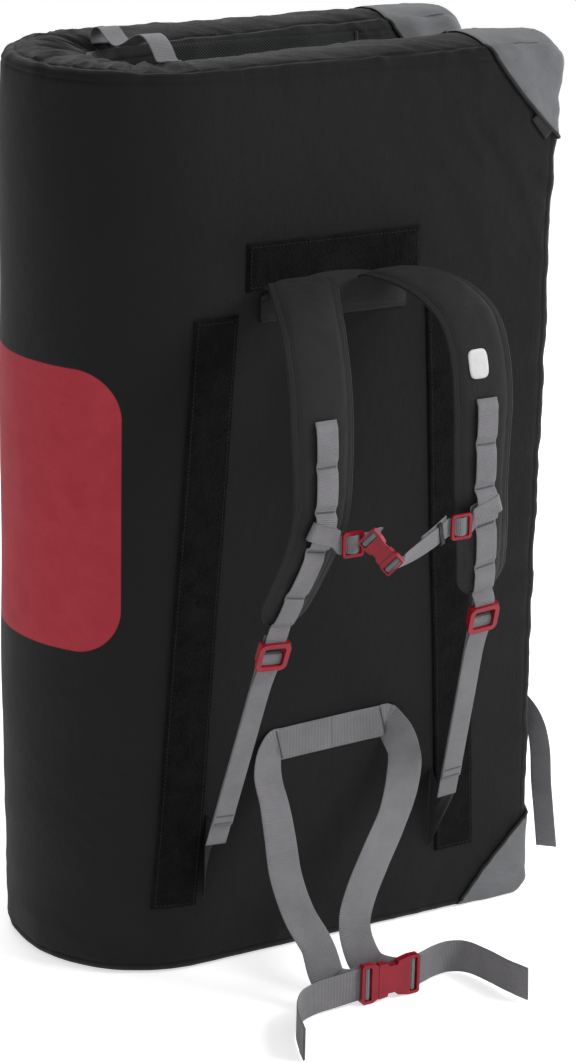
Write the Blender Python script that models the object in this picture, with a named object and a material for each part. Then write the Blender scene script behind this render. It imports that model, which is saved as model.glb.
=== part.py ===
"""A taco-style bouldering crash pad, folded shut and standing on one short side.

The pad is two foam halves joined by a round fold. The front half carries a carrying harness:
two padded shoulder straps, a sternum strap and a waist belt. Metres, +Z up. The origin is on the
floor, under the middle of the front half. Depth is measured from a half's middle plane, positive
towards its outer face.
"""

import math

import bmesh
import bpy
from mathutils import Matrix, Vector

# Pad
panel_height = 1.000
open_length = 1.330
pad_thickness = 0.100
fold_gap = 0.100
fold_segments = 6
fabric = 0.0012
seat = 0.0003
face_crown = 0.005
landing_crown = 0.003
gusset_bulge = 0.006
corner_radius = 0.024
corner_flare = 0.010
flare_power = 5
crown_power = 6
firm_foam = 0.020
soft_seat = 0.0006

inner_radius = fold_gap / 2
outer_radius = inner_radius + pad_thickness
leg_length = (open_length - math.pi * outer_radius) / 2
open_x = (leg_length + outer_radius) / 2
fold_x = open_x - leg_length
fold_y = pad_thickness / 2 + inner_radius
back_y = 2 * fold_y
half_thickness = pad_thickness / 2
hinge_radius = outer_radius + face_crown + seat
fold_step = math.pi / fold_segments

# Corner boots
boot_fabric = 0.0010
boot_reach = 0.080
boot_drop = 0.105
boot_hem = 0.006
boot_bow = 0.004

# Hook strips on the outer face
strip_width = 0.052
strip_thickness = 0.0022
strip_top = 0.742
strip_bottom = 0.080
strip_top_inner = 0.115
strip_bottom_inner = 0.156
cross_strip_half_length = 0.107
strip_fold_gap = 0.0010
strip_tip = 0.004

# Harness
harness_x = 0.006
webbing = 0.0014
strap_width = 0.025
sternum_width = 0.020
yoke_top = 0.766
yoke_height = 0.034
yoke_thickness = 0.007
yoke_half_width = 0.089
strap_reach = 0.158
strap_spread = 0.131
lock_height = 0.404
pad_width = 0.070
pad_end_width = 0.054
pad_edge = 0.003
pad_depth = 0.012
daisy_start_share = 0.42
daisy_bays = 6
daisy_rise = 0.0048
daisy_bay_shares = ((0, 0), (0.05, 0), (0.16, 1), (0.86, 1), (0.95, 0))
anchor_x = 0.149
anchor_reach = 0.040
anchor_height = 0.160
tail_short = 0.028
wing_sew_top = 0.186
wing_sew_bottom = 0.086
wing_sew_x = 0.146
wing_lap = 0.016

# Points of the shoulder strap's outer side, from the yoke to the ladder lock, as shares of
# strap_spread sideways, strap_reach outwards and the drop from yoke to lock downwards
shoulder_route_shares = (
    (0.430, 0.088, 0.000),
    (0.442, 0.220, -0.020),
    (0.555, 0.430, -0.018),
    (0.655, 0.640, 0.010),
    (0.718, 0.820, 0.068),
    (0.740, 0.930, 0.165),
    (0.744, 0.985, 0.290),
    (0.737, 1.000, 0.425),
    (0.744, 1.000, 0.555),
    (0.800, 0.960, 0.670),
    (0.885, 0.865, 0.795),
    (0.955, 0.765, 0.905),
)

# Ladder lock
lock_bar = 0.0030
lock_rail = 0.0055
lock_length = 0.034
lock_plate = 0.0036
lock_corner = 0.0075

# Tri-glides on the sternum strap
glide_half_length = 0.0125
glide_rail = 0.0032
glide_bar = 0.0026
glide_thickness = 0.0030
glide_height = 0.532
glide_depth = 0.1645
left_glide_x = -0.0600
right_glide_x = 0.0725
sternum_loop_share = 0.7670
sternum_slant = math.radians(12)

# Side-release buckles
mouth_clearance = 0.0005
ladder_clearance = 0.0007
ladder_margin = 0.0016
leg_turn = 0.0018
stub_length = 0.010
lap_gap = 0.0005
sternum_buckle_x = -0.0398
sternum_buckle_depth = 0.1982
sternum_buckle_height = 0.5246
sternum_fold_back = 0.011
sternum_curl_x = -0.0340
sternum_axis = (0.45, -0.58, -0.68)
sternum_facing = (-0.80, -0.58, -0.05)

# Belt
belt_width = 0.038
belt_buckle_x = -0.0110
belt_buckle_depth = 0.161
belt_floor_gap = 0.0012
belt_band_height = 0.2565
left_tail_length = 0.150
right_tail_length = 0.150

# Closing straps across the open end
closure_height_shares = (0.775, 0.225)
closure_mouth_y = 0.0905
closure_standoff = 0.0080
upper_tail_length = 0.100
lower_tail_length = 0.190

# Carrying loop over the fold and mesh vent in the valley
handle_length = 0.161
handle_rise = 0.024
handle_x = -0.1555
handle_y = 0.014
vent_left = -0.094
vent_right = 0.150
vent_height = 0.150
vent_inset = 0.008
vent_thickness = 0.0010

# Middle line of the belt's band as it crosses the face, sideways and upwards, as shares of its width
belt_band_shares = ((-1.237, -0.250), (0, 0), (1.421, 0.263))

# Routes of webbing that hangs between two ends: a share of the way, then x, y, z off the
# straight line, as shares of its length
left_leg_shares = (
    (0.033, -0.080, -0.012, 0.009),
    (0.122, -0.130, -0.033, 0.025),
    (0.250, -0.165, -0.041, 0.030),
    (0.396, -0.190, -0.044, 0.032),
    (0.558, -0.181, -0.037, 0.028),
    (0.723, -0.164, -0.017, 0.014),
    (0.873, -0.140, -0.003, 0.005),
    (0.974, -0.085, 0.004, -0.001),
)
right_leg_shares = (
    (0.049, 0.098, 0.016, -0.027),
    (0.141, 0.150, 0.004, -0.029),
    (0.259, 0.129, -0.011, -0.017),
    (0.440, 0.049, -0.008, -0.003),
    (0.609, -0.058, -0.011, 0.018),
    (0.751, -0.141, -0.007, 0.029),
    (0.872, -0.158, 0.007, 0.024),
    (0.967, -0.109, 0.011, 0.013),
)
sternum_slack_shares = (
    (0.25, 0, 0.004, -0.016),
    (0.50, 0, 0.006, -0.022),
    (0.75, 0, 0.004, -0.016),
)

# Routes of free tails: x, y, z from where each leaves its buckle, as shares of its length
left_tail_shares = (
    (-0.210, -0.005, -0.011),
    (-0.383, -0.015, -0.018),
    (-0.537, -0.075, -0.021),
    (-0.663, -0.221, -0.025),
    (-0.750, -0.408, -0.025),
    (-0.810, -0.575, -0.025),
)
right_tail_shares = (
    (0.125, 0.052, -0.005),
    (0.245, 0.105, -0.015),
    (0.385, 0.125, -0.021),
    (0.498, 0.052, -0.021),
    (0.551, -0.141, -0.018),
    (0.578, -0.355, -0.011),
    (0.618, -0.561, -0.001),
)
upper_tail_shares = (
    (0.010, -0.240, 0),
    (0.040, -0.400, -0.080),
    (0.060, -0.480, -0.260),
    (0.040, -0.500, -0.600),
    (0.060, -0.490, -0.950),
)
lower_tail_shares = (
    (0.005, -0.232, 0),
    (0.026, -0.411, -0.016),
    (0.063, -0.505, -0.121),
    (0.100, -0.526, -0.295),
    (0.121, -0.526, -0.516),
    (0.147, -0.526, -0.700),
    (0.189, -0.521, -0.974),
)

# Colours, as linear values, with roughness and metallic
FINISHES = {
    "black_cover": ((0.018, 0.018, 0.020), 0.80, 0.0),
    "landing_cover": ((0.026, 0.026, 0.028), 0.85, 0.0),
    "grey_cover": ((0.185, 0.190, 0.200), 0.75, 0.0),
    "hook_strip": ((0.006, 0.006, 0.007), 0.95, 0.0),
    "webbing": ((0.180, 0.177, 0.190), 0.70, 0.0),
    "padding": ((0.017, 0.017, 0.019), 0.80, 0.0),
    "hardware": ((0.430, 0.012, 0.040), 0.35, 0.0),
    "open_foam": ((0.450, 0.430, 0.300), 0.95, 0.0),
    "closed_foam": ((0.030, 0.045, 0.090), 0.80, 0.0),
    "mesh": ((0.012, 0.012, 0.013), 0.90, 0.0),
}

X = Vector((1, 0, 0))
Y = Vector((0, 1, 0))
Z = Vector((0, 0, 1))
FRONT = 1
BACK = -1


def clear_scene():
    for old in list(bpy.data.objects):
        bpy.data.objects.remove(old)


def finish_named(name):
    found = bpy.data.materials.get(name)
    if found:
        return found
    colour, roughness, metallic = FINISHES[name]
    made = bpy.data.materials.new(name)
    made.use_nodes = True
    shader = made.node_tree.nodes["Principled BSDF"]
    shader.inputs["Base Color"].default_value = (*colour, 1)
    shader.inputs["Roughness"].default_value = roughness
    shader.inputs["Metallic"].default_value = metallic
    return made


def body(name, location, parent=None):
    """An empty on a joint's axis, which carries the pieces of one moving body."""
    carrier = bpy.data.objects.new(name, None)
    bpy.context.scene.collection.objects.link(carrier)
    carrier.location = location
    if parent:
        carrier.parent = parent
        bpy.context.view_layer.update()
        carrier.matrix_parent_inverse = parent.matrix_world.inverted()
    bpy.context.view_layer.update()
    return carrier


def piece(name, shape, finish, carrier):
    """Turns a bmesh in world coordinates into an object whose origin is its carrier's."""
    bmesh.ops.recalc_face_normals(shape, faces=shape.faces)
    mesh = bpy.data.meshes.new(name)
    shape.to_mesh(mesh)
    shape.free()
    made = bpy.data.objects.new(name, mesh)
    bpy.context.scene.collection.objects.link(made)
    made.data.materials.append(finish_named(finish))
    made.data.transform(carrier.matrix_world.inverted())
    made.parent = carrier
    return made


def block(us, vs, ws, place, shape=None):
    """A closed solid: the skin of a grid of shares, each corner put in place by a function."""
    shape = shape or bmesh.new()
    steps = (us, vs, ws)
    last = [len(values) - 1 for values in steps]
    made = {}

    def corner(key):
        if key not in made:
            made[key] = shape.verts.new(place(*(steps[axis][key[axis]] for axis in range(3))))
        return made[key]

    for axis in range(3):
        first, second = (other for other in range(3) if other != axis)
        for end in (0, last[axis]):
            for a in range(last[first]):
                for b in range(last[second]):
                    loop = []
                    for step_a, step_b in ((0, 0), (1, 0), (1, 1), (0, 1)):
                        key = [0, 0, 0]
                        key[axis], key[first], key[second] = end, a + step_a, b + step_b
                        loop.append(corner(tuple(key)))
                    shape.faces.new(loop)
    return shape


def shares(count):
    return [step / count for step in range(count + 1)]


def mix(a, b, share):
    return a + (b - a) * share


def curve_through(points, share):
    """A Catmull-Rom curve through the points, at a share of the way along them."""
    spot = min(max(share, 0), 1) * (len(points) - 1)
    index = min(int(spot), len(points) - 2)
    t = spot - index
    p1, p2 = points[index], points[index + 1]
    p0 = points[index - 1] if index else p1 * 2 - p2
    p3 = points[index + 2] if index + 2 < len(points) else p2 * 2 - p1
    return (
        p1 * 2
        + (p2 - p0) * t
        + (p0 * 2 - p1 * 5 + p2 * 4 - p3) * t**2
        + (p1 * 3 - p0 - p2 * 3 + p3) * t**3
    ) / 2


def square_to(hint, tangent):
    return (hint - tangent * hint.dot(tangent)).normalized()


def strap(route, acrosses, width, thickness=webbing, squared=True):
    """Webbing swept along points. Each point has the direction across the strap.

    Where a strap isn't squared, it shifts sideways without turning, as slack webbing does.
    """
    tangents = []
    for index in range(len(route)):
        ahead = route[min(index + 1, len(route) - 1)]
        behind = route[max(index - 1, 0)]
        tangents.append((ahead - behind).normalized())

    def place(u, v, w):
        tangent = tangents[v]
        across = square_to(acrosses[v], tangent) if squared else acrosses[v].normalized()
        face = tangent.cross(across).normalized()
        return route[v] + across * (u - 0.5) * width + face * (w - 0.5) * thickness

    return block((0, 1), range(len(route)), (0, 1), place)


def frame_at(origin, along, face):
    """A local frame: X along, Y across, Z out of the face."""
    along = along.normalized()
    face = square_to(face, along)
    across = face.cross(along)
    made = Matrix((along, across, face)).transposed().to_4x4()
    made.translation = origin
    return made


def local_strap(frame, side_view, width, across_shift=0, thickness=webbing):
    """A strap drawn from the side, as points along and out of the face of a local frame."""
    route = [frame @ Vector((s, across_shift, n)) for s, n in side_view]
    across = (frame.to_3x3() @ Y).normalized()
    return strap(route, [across] * len(route), width, thickness)


def turn(centre_s, centre_n, radius, start, end, steps=6):
    """Points of an arc in a strap's side view, with angles in degrees from along to out."""
    points = []
    for share in shares(steps):
        angle = math.radians(mix(start, end, share))
        points.append((centre_s + radius * math.cos(angle), centre_n + radius * math.sin(angle)))
    return points


def plate(outline, low, high, frame, shape=None):
    """An outline in a frame's plane, extruded from low to high out of its face."""
    shape = shape or bmesh.new()
    floor = [shape.verts.new(frame @ Vector((s, c, low))) for s, c in outline]
    roof = [shape.verts.new(frame @ Vector((s, c, high))) for s, c in outline]
    shape.faces.new(floor)
    shape.faces.new(roof)
    count = len(outline)
    for index in range(count):
        after = (index + 1) % count
        shape.faces.new((floor[index], floor[after], roof[after], roof[index]))
    return shape


def rounded(half_s, half_c, radius, centre_s=0, centre_c=0, steps=4):
    """A rectangle with round corners, as an outline."""
    points = []
    for quarter in range(4):
        sign_s = (1, -1, -1, 1)[quarter]
        sign_c = (1, 1, -1, -1)[quarter]
        for share in shares(steps):
            angle = math.pi / 2 * (quarter + share)
            points.append(
                (
                    centre_s + sign_s * (half_s - radius) + radius * math.cos(angle),
                    centre_c + sign_c * (half_c - radius) + radius * math.sin(angle),
                )
            )
    return points


def helper(name, shape, carrier):
    """A cutter or an added form for a Boolean, which isn't a piece itself."""
    made = piece(name, shape, "hardware", carrier)
    made.hide_render = True
    made.display_type = "WIRE"
    return made


def combine(target, other, operation):
    step = target.modifiers.new(other.name, "BOOLEAN")
    step.operation = operation
    step.object = other
    step.solver = "EXACT"


def soften(target, width, angle=math.radians(40)):
    step = target.modifiers.new("soft_edges", "BEVEL")
    step.width = width
    step.segments = 1
    step.limit_method = "ANGLE"
    step.angle_limit = angle


# Shape of a half


def at_half(side, x, depth, z):
    return Vector((x, -depth if side == FRONT else back_y + depth, z))


def rise_of(z):
    return abs(2 * z / panel_height - 1)


def rim_x(z, inset=0):
    """The open end's edge: it is drawn in between corners that flare, and the corners are round."""
    edge = open_x + corner_flare * rise_of(z) ** flare_power
    drop = corner_radius - min(z, panel_height - z)
    if drop <= 0:
        return edge - inset
    radius = corner_radius - inset
    return edge - corner_radius + math.sqrt(max(radius**2 - drop**2, 0))


corner_angles = [math.radians(angle) for angle in (0, 30, 60, 90)]
row_shares = (0.06, 0.12, 0.20, 0.35, 0.50, 0.65, 0.80, 0.88, 0.94)
column_shares = (0, 0.15, 0.30, 0.45, 0.60, 0.75, 0.88, 0.96, 1)


def rows(inset=0):
    """Heights of a panel's grid, close together round the corners."""
    low = [corner_radius - (corner_radius - inset) * math.cos(angle) for angle in corner_angles]
    middle = [share * panel_height for share in row_shares]
    return low + middle + [panel_height - z for z in reversed(low)]


def crown_at(z):
    return 1 - rise_of(z) ** crown_power


def outer_depth(x, z):
    share = min(max((x - fold_x) / leg_length, 0), 1)
    return half_thickness + face_crown * (1 - share**crown_power) * crown_at(z)


def landing_depth(x, z):
    share = min(max((x - fold_x) / leg_length, 0), 1)
    return -half_thickness - landing_crown * (1 - abs(2 * share - 1) ** crown_power) * crown_at(z)


def bulge_at(depth):
    """How far the gusset stands out between the two faces."""
    return gusset_bulge * max(1 - (depth / half_thickness) ** 2, 0)


def slab(side, inset, low_depth, high_depth):
    """A sheet or layer that fills a half's outline, between two depths that may vary."""
    start = fold_x + seat / 2

    def place(u, v, w):
        x = mix(start, rim_x(v, inset), u)
        return at_half(side, x, mix(low_depth(x, v), high_depth(x, v), w), v)

    return block(column_shares, rows(inset), (0, 1), place)


def gusset(side):
    """The band round the half's bottom, open end and top, flat below and bulging elsewhere."""
    heights = rows()
    start = fold_x + seat / 2
    line = [(start, 0)] + [(rim_x(z), z) for z in heights] + [(start, panel_height)]
    normals = []
    for index in range(len(line)):
        behind = line[max(index - 1, 0)]
        ahead = line[min(index + 1, len(line) - 1)]
        along = Vector((ahead[0] - behind[0], ahead[1] - behind[1])).normalized()
        normals.append((along.y, -along.x))
    for end in (0, -1):
        normals[end] = (0, -1 if end == 0 else 1)
    normals[1] = (0, -1)
    normals[-2] = (0, 1)
    half = half_thickness - fabric - seat

    def place(u, v, w):
        depth = mix(-half, half, u)
        swell = bulge_at(depth) * min(max(line[v][1] / (4 * corner_radius), 0), 1)
        out = swell - fabric * (1 - w)
        x, z = line[v]
        return at_half(side, x + normals[v][0] * out, depth, z + normals[v][1] * out)

    return block((0, 0.15, 0.325, 0.5, 0.675, 0.85, 1), range(len(line)), (0, 1), place)


def boot(side, top):
    """A corner boot: a cloth cap over one corner, with a triangle on each face."""
    mirror_z = (lambda z: panel_height - z) if top else (lambda z: z)
    line = []
    if top:
        for share in (0, 0.5):
            line.append((rim_x(0) - boot_reach * (1 - share), 0))
    for angle in corner_angles if top else corner_angles[1:]:
        z = corner_radius - corner_radius * math.cos(angle)
        line.append((rim_x(z), z))
    for share in (0.35, 0.7, 1):
        z = mix(corner_radius, boot_drop, share)
        line.append((rim_x(z), z))
    normals = []
    for index in range(len(line)):
        behind = line[max(index - 1, 0)]
        ahead = line[min(index + 1, len(line) - 1)]
        along = Vector((ahead[0] - behind[0], ahead[1] - behind[1])).normalized()
        normals.append((along.y, -along.x))
    if top:
        normals[0] = normals[1] = normals[2] = (0, -1)
    first = Vector((rim_x(0) - boot_reach, soft_seat))
    last = Vector((rim_x(boot_drop), boot_drop))
    square = Vector((-1, 1)).normalized()
    across_shares = (0, 0.5, 1)
    depth_shares = (-1, -0.7, -0.35, 0, 0.35, 0.7, 1)
    columns = [("outer", s) for s in across_shares] + [("band", -d) for d in depth_shares]
    columns += [("landing", s) for s in reversed(across_shares)]
    count = len(line) - 1

    def place(u, v, w):
        out = soft_seat + boot_fabric * w
        zone, share = columns[u]
        rim = Vector(line[v])
        normal = Vector(normals[v])
        if zone == "band":
            depth = share * (half_thickness + out)
            swell = 1 if top else min(rim.y / (4 * corner_radius), 1)
            x, z = rim + normal * (bulge_at(depth) * swell + out)
            return at_half(side, x, depth, mirror_z(z))
        run = v / count
        diagonal = first.lerp(last, run) + square * (boot_bow * math.sin(math.pi * run))
        hem = (rim - diagonal).normalized() if (rim - diagonal).length > boot_hem else square
        start = diagonal if (rim - diagonal).length > boot_hem else rim + square * boot_hem
        inner_rim = rim + normal * (out * 0.5)
        x, z = start.lerp(inner_rim, share) if hem else start
        z = max(z, soft_seat)
        surface = outer_depth(x, z) if zone == "outer" else landing_depth(x, z)
        sign = 1 if zone == "outer" else -1
        return at_half(side, x, surface + sign * out, mirror_z(z))

    return block(range(len(columns)), range(len(line)), (0, 1), place)


def fold_point(radius, angle, z):
    """A point of the fold. The angle runs from the front half, round the fold, to the back."""
    return Vector((fold_x - radius * math.sin(angle), fold_y - radius * math.cos(angle), z))


def fold_segment(index):
    """One wedge of the fold, from its inner skin to its outer one."""

    def place(u, v, w):
        radius = mix(inner_radius, outer_radius + face_crown * crown_at(v), w)
        trim = math.asin(seat / 2 / radius)
        angle = mix(index * fold_step + trim, (index + 1) * fold_step - trim, u)
        height = v
        if v == panel_height:
            height += bulge_at(mix(-half_thickness, half_thickness, w))
        return fold_point(radius, angle, height)

    levels = [0, *(share * panel_height for share in row_shares), panel_height]
    return block(shares(4), levels, (0, 0.15, 0.325, 0.5, 0.675, 0.85, 1), place)


# Places on the harness


def on_face(x, z, out=0):
    """A point on the front half's outer face, at a distance out of it."""
    return at_half(FRONT, x, outer_depth(x, z) + out, z)


def shoulder_route(side):
    """Points of a shoulder strap's outer side. Side is -1 on the left and 1 on the right."""
    drop = yoke_top - lock_height
    points = []
    for spread, reach, fall in shoulder_route_shares:
        x = harness_x + side * strap_spread * spread
        points.append(Vector((x, -half_thickness - strap_reach * reach, yoke_top - drop * fall)))
    return points


def shoulder_frame(side, share):
    """Point, direction and outward normal of a shoulder strap at a share of its length."""
    points = shoulder_route(side)
    step = 0.01
    point = curve_through(points, share)
    ahead = curve_through(points, min(share + step, 1))
    behind = curve_through(points, max(share - step, 0))
    tangent = (ahead - behind).normalized()
    across = square_to(X, tangent)
    return point, tangent, across, tangent.cross(across)


def lock_frame(side):
    """Ladder lock's frame: X up the strap, Z out of its face."""
    x = harness_x + side * strap_spread
    lock = Vector((x, -half_thickness - strap_reach * 0.745, lock_height))
    anchor = anchor_point(side)
    return frame_at(lock, lock - anchor, -Y)


def anchor_point(side):
    x = harness_x + side * anchor_x
    return Vector((x, -half_thickness - anchor_reach, anchor_height))


# Pieces of the pad


def make_half(side, carrier):
    label = "front" if side == FRONT else "back"
    outer_skin = slab(side, 0, lambda x, z: outer_depth(x, z) - fabric, outer_depth)
    piece(f"{label}_outer_panel", outer_skin, "black_cover", carrier)
    landing = slab(side, 0, landing_depth, lambda x, z: landing_depth(x, z) + fabric)
    piece(f"{label}_landing_panel", landing, "landing_cover", carrier)
    piece(f"{label}_gusset", gusset(side), "black_cover", carrier)
    inset = fabric + soft_seat
    skin = fabric + seat
    outer_break = half_thickness - skin - firm_foam
    landing_break = -outer_break
    layers = (
        (
            "base_foam",
            "closed_foam",
            lambda x, z: outer_break,
            lambda x, z: outer_depth(x, z) - skin,
        ),
        (
            "core_foam",
            "open_foam",
            lambda x, z: landing_break + seat,
            lambda x, z: outer_break - seat,
        ),
        (
            "landing_foam",
            "closed_foam",
            lambda x, z: landing_depth(x, z) + skin,
            lambda x, z: landing_break,
        ),
    )
    for name, finish, low, high in layers:
        piece(f"{label}_{name}", slab(side, inset, low, high), finish, carrier)
    for name, top in (("top", True), ("bottom", False)):
        piece(f"{label}_{name}_boot", boot(side, top), "grey_cover", carrier)


def on_skin(x, z, out):
    """A point out of the front face or, past the fold line, as far round the fold's skin."""
    if x >= fold_x:
        return on_face(x, z, out)
    radius = outer_radius + face_crown * crown_at(z)
    return fold_point(radius + out, (fold_x - x) / radius, z)


def make_strip(name, edges, low_z, high_z, counts, carrier):
    """A hook strip between two edges, which are given by height."""

    def place(u, v, w):
        z = mix(low_z, high_z, v)
        first, second = edges(z)
        return on_skin(mix(first, second, u), z, soft_seat + strip_thickness * w)

    shape = block(shares(counts[0]), shares(counts[1]), (0, 1), place)
    piece(name, shape, "hook_strip", carrier)


def make_strips(front, fold):
    """Hook-and-loop strips: one across, and two that spread apart downwards.

    The left one runs over the fold line, and is parted there.
    """
    ends = (harness_x - cross_strip_half_length, harness_x + cross_strip_half_length)
    high = yoke_top + strip_width
    make_strip("hook_strip_top", lambda z: ends, yoke_top, high, (4, 2), front)

    def inner_at(z):
        return mix(
            strip_bottom_inner,
            strip_top_inner,
            (z - strip_bottom) / (strip_top - strip_bottom),
        )

    def right(z):
        inner = harness_x + inner_at(z)
        return inner, inner + strip_width

    make_strip("hook_strip_right", right, strip_bottom, strip_top, (2, 10), front)
    front_limit = fold_x + strip_fold_gap / 2
    fold_limit = fold_x - strip_fold_gap / 2

    def on_front(z):
        inner = harness_x - inner_at(z)
        return max(inner - strip_width, front_limit), max(inner, front_limit)

    def on_fold(z):
        inner = harness_x - inner_at(z)
        return inner - strip_width, min(inner, fold_limit)

    spread = (strip_bottom_inner - strip_top_inner) / (strip_top - strip_bottom)
    past = harness_x - strip_bottom_inner - front_limit - strip_tip
    tip = strip_bottom + max(-past / spread, 0)
    make_strip("hook_strip_left", on_front, tip, strip_top, (1, 10), front)
    make_strip("hook_strip_left_edge", on_fold, strip_bottom, strip_top, (4, 10), fold)


def make_yoke(carrier):
    """The padded panel that both shoulder straps are sewn to."""

    def place(u, v, w):
        x = harness_x + mix(-yoke_half_width, yoke_half_width, u)
        arch = 1 - abs(2 * u - 1) ** 2
        top = yoke_top - yoke_height * 0.15 * (1 - arch)
        z = mix(yoke_top - yoke_height, top, v)
        edge = (1 - abs(2 * v - 1) ** 4) * (1 - abs(2 * u - 1) ** 8)
        out = mix(yoke_thickness * 0.4, yoke_thickness, edge)
        return on_face(x, z, seat + out * w)

    shape = block(shares(10), (0, 0.15, 0.5, 0.85, 1), (0, 1), place)
    piece("yoke_panel", shape, "padding", carrier)


def make_shoulder_pad(name, side, carrier):
    """A padded shoulder strap: crowned across, with thin bound edges and a round lower end."""

    def place(u, v, w):
        point, tangent, across, face = shoulder_frame(side, v)
        width = mix(pad_width, pad_end_width, max(v - 0.55, 0) / 0.45)
        end = max(v - 0.94, 0) / 0.06
        width *= math.sqrt(max(1 - (end * 0.8) ** 2, 0))
        fullness = 1 - abs(2 * u - 1) ** 3
        taper = min(1, (1 - v) / 0.03 * 0.75 + 0.25, v / 0.06 * 0.7 + 0.3)
        thickness = mix(pad_edge, pad_depth, fullness * taper)
        back = point - face * (pad_depth / 2)
        return back + across * (u - 0.5) * width + face * (w - 0.5) * thickness

    lengthwise = [share * 0.94 for share in shares(20)] + [0.96, 0.98, 0.992, 1]
    shape = block((0, 0.1, 0.32, 0.68, 0.9, 1), lengthwise, (0, 1), place)
    piece(f"shoulder_pad_{name}", shape, "padding", carrier)


def make_daisy(name, side, carrier):
    """Webbing bartacked to the shoulder strap in bays that stand off it, looped on the lock."""
    frame = lock_frame(side)
    route = []
    acrosses = []
    bay = (1 - daisy_start_share) / daisy_bays
    for index in range(daisy_bays):
        for share, rise in daisy_bay_shares:
            v = daisy_start_share + bay * (index + share)
            point, tangent, across, face = shoulder_frame(side, v)
            route.append(point + face * (soft_seat + webbing / 2 + daisy_rise * rise))
            acrosses.append(across)
    point, tangent, across, face = shoulder_frame(side, 1)
    route.append(point + face * (soft_seat + webbing / 2))
    acrosses.append(across)
    across = (frame.to_3x3() @ Y).normalized()
    across = across if across.dot(X) > 0 else -across
    radius = lock_bar / 2 + seat + webbing / 2
    centre_s, centre_n = rear_bar_place()
    loop = turn(centre_s, centre_n, radius, 90, -90)
    loop += [(centre_s + strap_width * 0.35, centre_n - radius)]
    loop = [(centre_s + strap_width * 0.3, centre_n + radius)] + [
        (2 * centre_s - s, n) for s, n in loop[:-1]
    ] + [loop[-1]]
    for s, n in loop:
        route.append(frame @ Vector((s, 0, n)))
        acrosses.append(across)
    piece(f"daisy_webbing_{name}", strap(route, acrosses, strap_width), "webbing", carrier)


def rear_bar_place():
    """Place of the ladder lock's rear bar, along the strap and out of the face."""
    depth = lock_plate / 2 + seat + webbing + seat + lock_bar / 2
    return lock_length / 2 - lock_rail / 2, -depth


def middle_bar_place():
    centre_s, centre_n = rear_bar_place()
    return -lock_bar / 2, centre_n


def make_ladder_lock(name, side, carrier):
    """A ring in front, and cheeks behind it that hold two set-back bars."""
    frame = lock_frame(side)
    half_s = lock_length / 2
    inside_c = strap_width / 2 + soft_seat
    half_c = inside_c + lock_rail
    ring = plate(rounded(half_s, half_c, lock_corner), -lock_plate / 2, lock_plate / 2, frame)
    lock = piece(f"ladder_lock_{name}", ring, "hardware", carrier)
    window = plate(
        rounded(half_s - lock_rail, inside_c, lock_bar),
        -lock_plate,
        lock_plate,
        frame,
    )
    combine(lock, helper(f"cutter_lock_{name}", window, carrier), "DIFFERENCE")
    rear_s, rear_n = rear_bar_place()
    middle_s, middle_n = middle_bar_place()
    low = rear_n - lock_bar / 2
    cheeks = bmesh.new()
    for edge in (-1, 1):
        inner_c = edge * inside_c
        outer_c = edge * (half_c - lock_bar / 3)
        start = min(inner_c, outer_c)
        end = max(inner_c, outer_c)
        s_low = middle_s - lock_bar
        s_high = rear_s + lock_bar * 0.75
        side_view = (
            (s_low - lock_bar, 0),
            (s_low, low),
            (s_high, low),
            (s_high, 0),
        )
        floor = [cheeks.verts.new(frame @ Vector((s, start, n))) for s, n in side_view]
        roof = [cheeks.verts.new(frame @ Vector((s, end, n))) for s, n in side_view]
        cheeks.faces.new(floor)
        cheeks.faces.new(roof)
        for index in range(4):
            after = (index + 1) % 4
            cheeks.faces.new((floor[index], floor[after], roof[after], roof[index]))
    combine(lock, helper(f"cheeks_{name}", cheeks, carrier), "UNION")
    bars = bmesh.new()
    for bar_s, bar_n in ((rear_s, rear_n), (middle_s, middle_n)):
        add_bar(bars, frame, bar_s, bar_n, lock_bar / 2, inside_c + lock_rail / 2)
    combine(lock, helper(f"bars_{name}", bars, carrier), "UNION")


def add_bar(shape, frame, bar_s, bar_n, radius, reach, sides=8):
    """A round bar across a frame."""
    rings = []
    for end in (-reach, reach):
        ring = []
        for index in range(sides):
            angle = 2 * math.pi * (index + 0.5) / sides
            s = bar_s + radius * math.cos(angle)
            n = bar_n + radius * math.sin(angle)
            ring.append(shape.verts.new(frame @ Vector((s, end, n))))
        rings.append(ring)
    shape.faces.new(rings[0])
    shape.faces.new(rings[1])
    for index in range(sides):
        after = (index + 1) % sides
        shape.faces.new((rings[0][index], rings[0][after], rings[1][after], rings[1][index]))


def make_adjuster(name, side, carrier):
    """Webbing from the wing up round the lock's middle bar, and back down as a free tail."""
    frame = lock_frame(side)
    length = (lock_frame(side).translation - anchor_point(side)).length
    centre_s, centre_n = middle_bar_place()
    radius = lock_bar / 2 + seat + webbing / 2
    back_n = centre_n - radius
    front_n = centre_n + radius
    lap_n = back_n + webbing + seat
    points = [(-length * share, back_n) for share in (1, 0.75, 0.5, 0.25)]
    points += turn(centre_s, centre_n, radius, -90, 90)
    points += [(-lock_length / 2, front_n), (-lock_length, mix(front_n, lap_n, 0.7))]
    points += [(-lock_length * 1.4, lap_n)]
    points += [(-(length - tail_short) * share, lap_n) for share in (0.5, 0.75, 1)]
    piece(f"adjuster_webbing_{name}", local_strap(frame, points, strap_width), "webbing", carrier)


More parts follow.
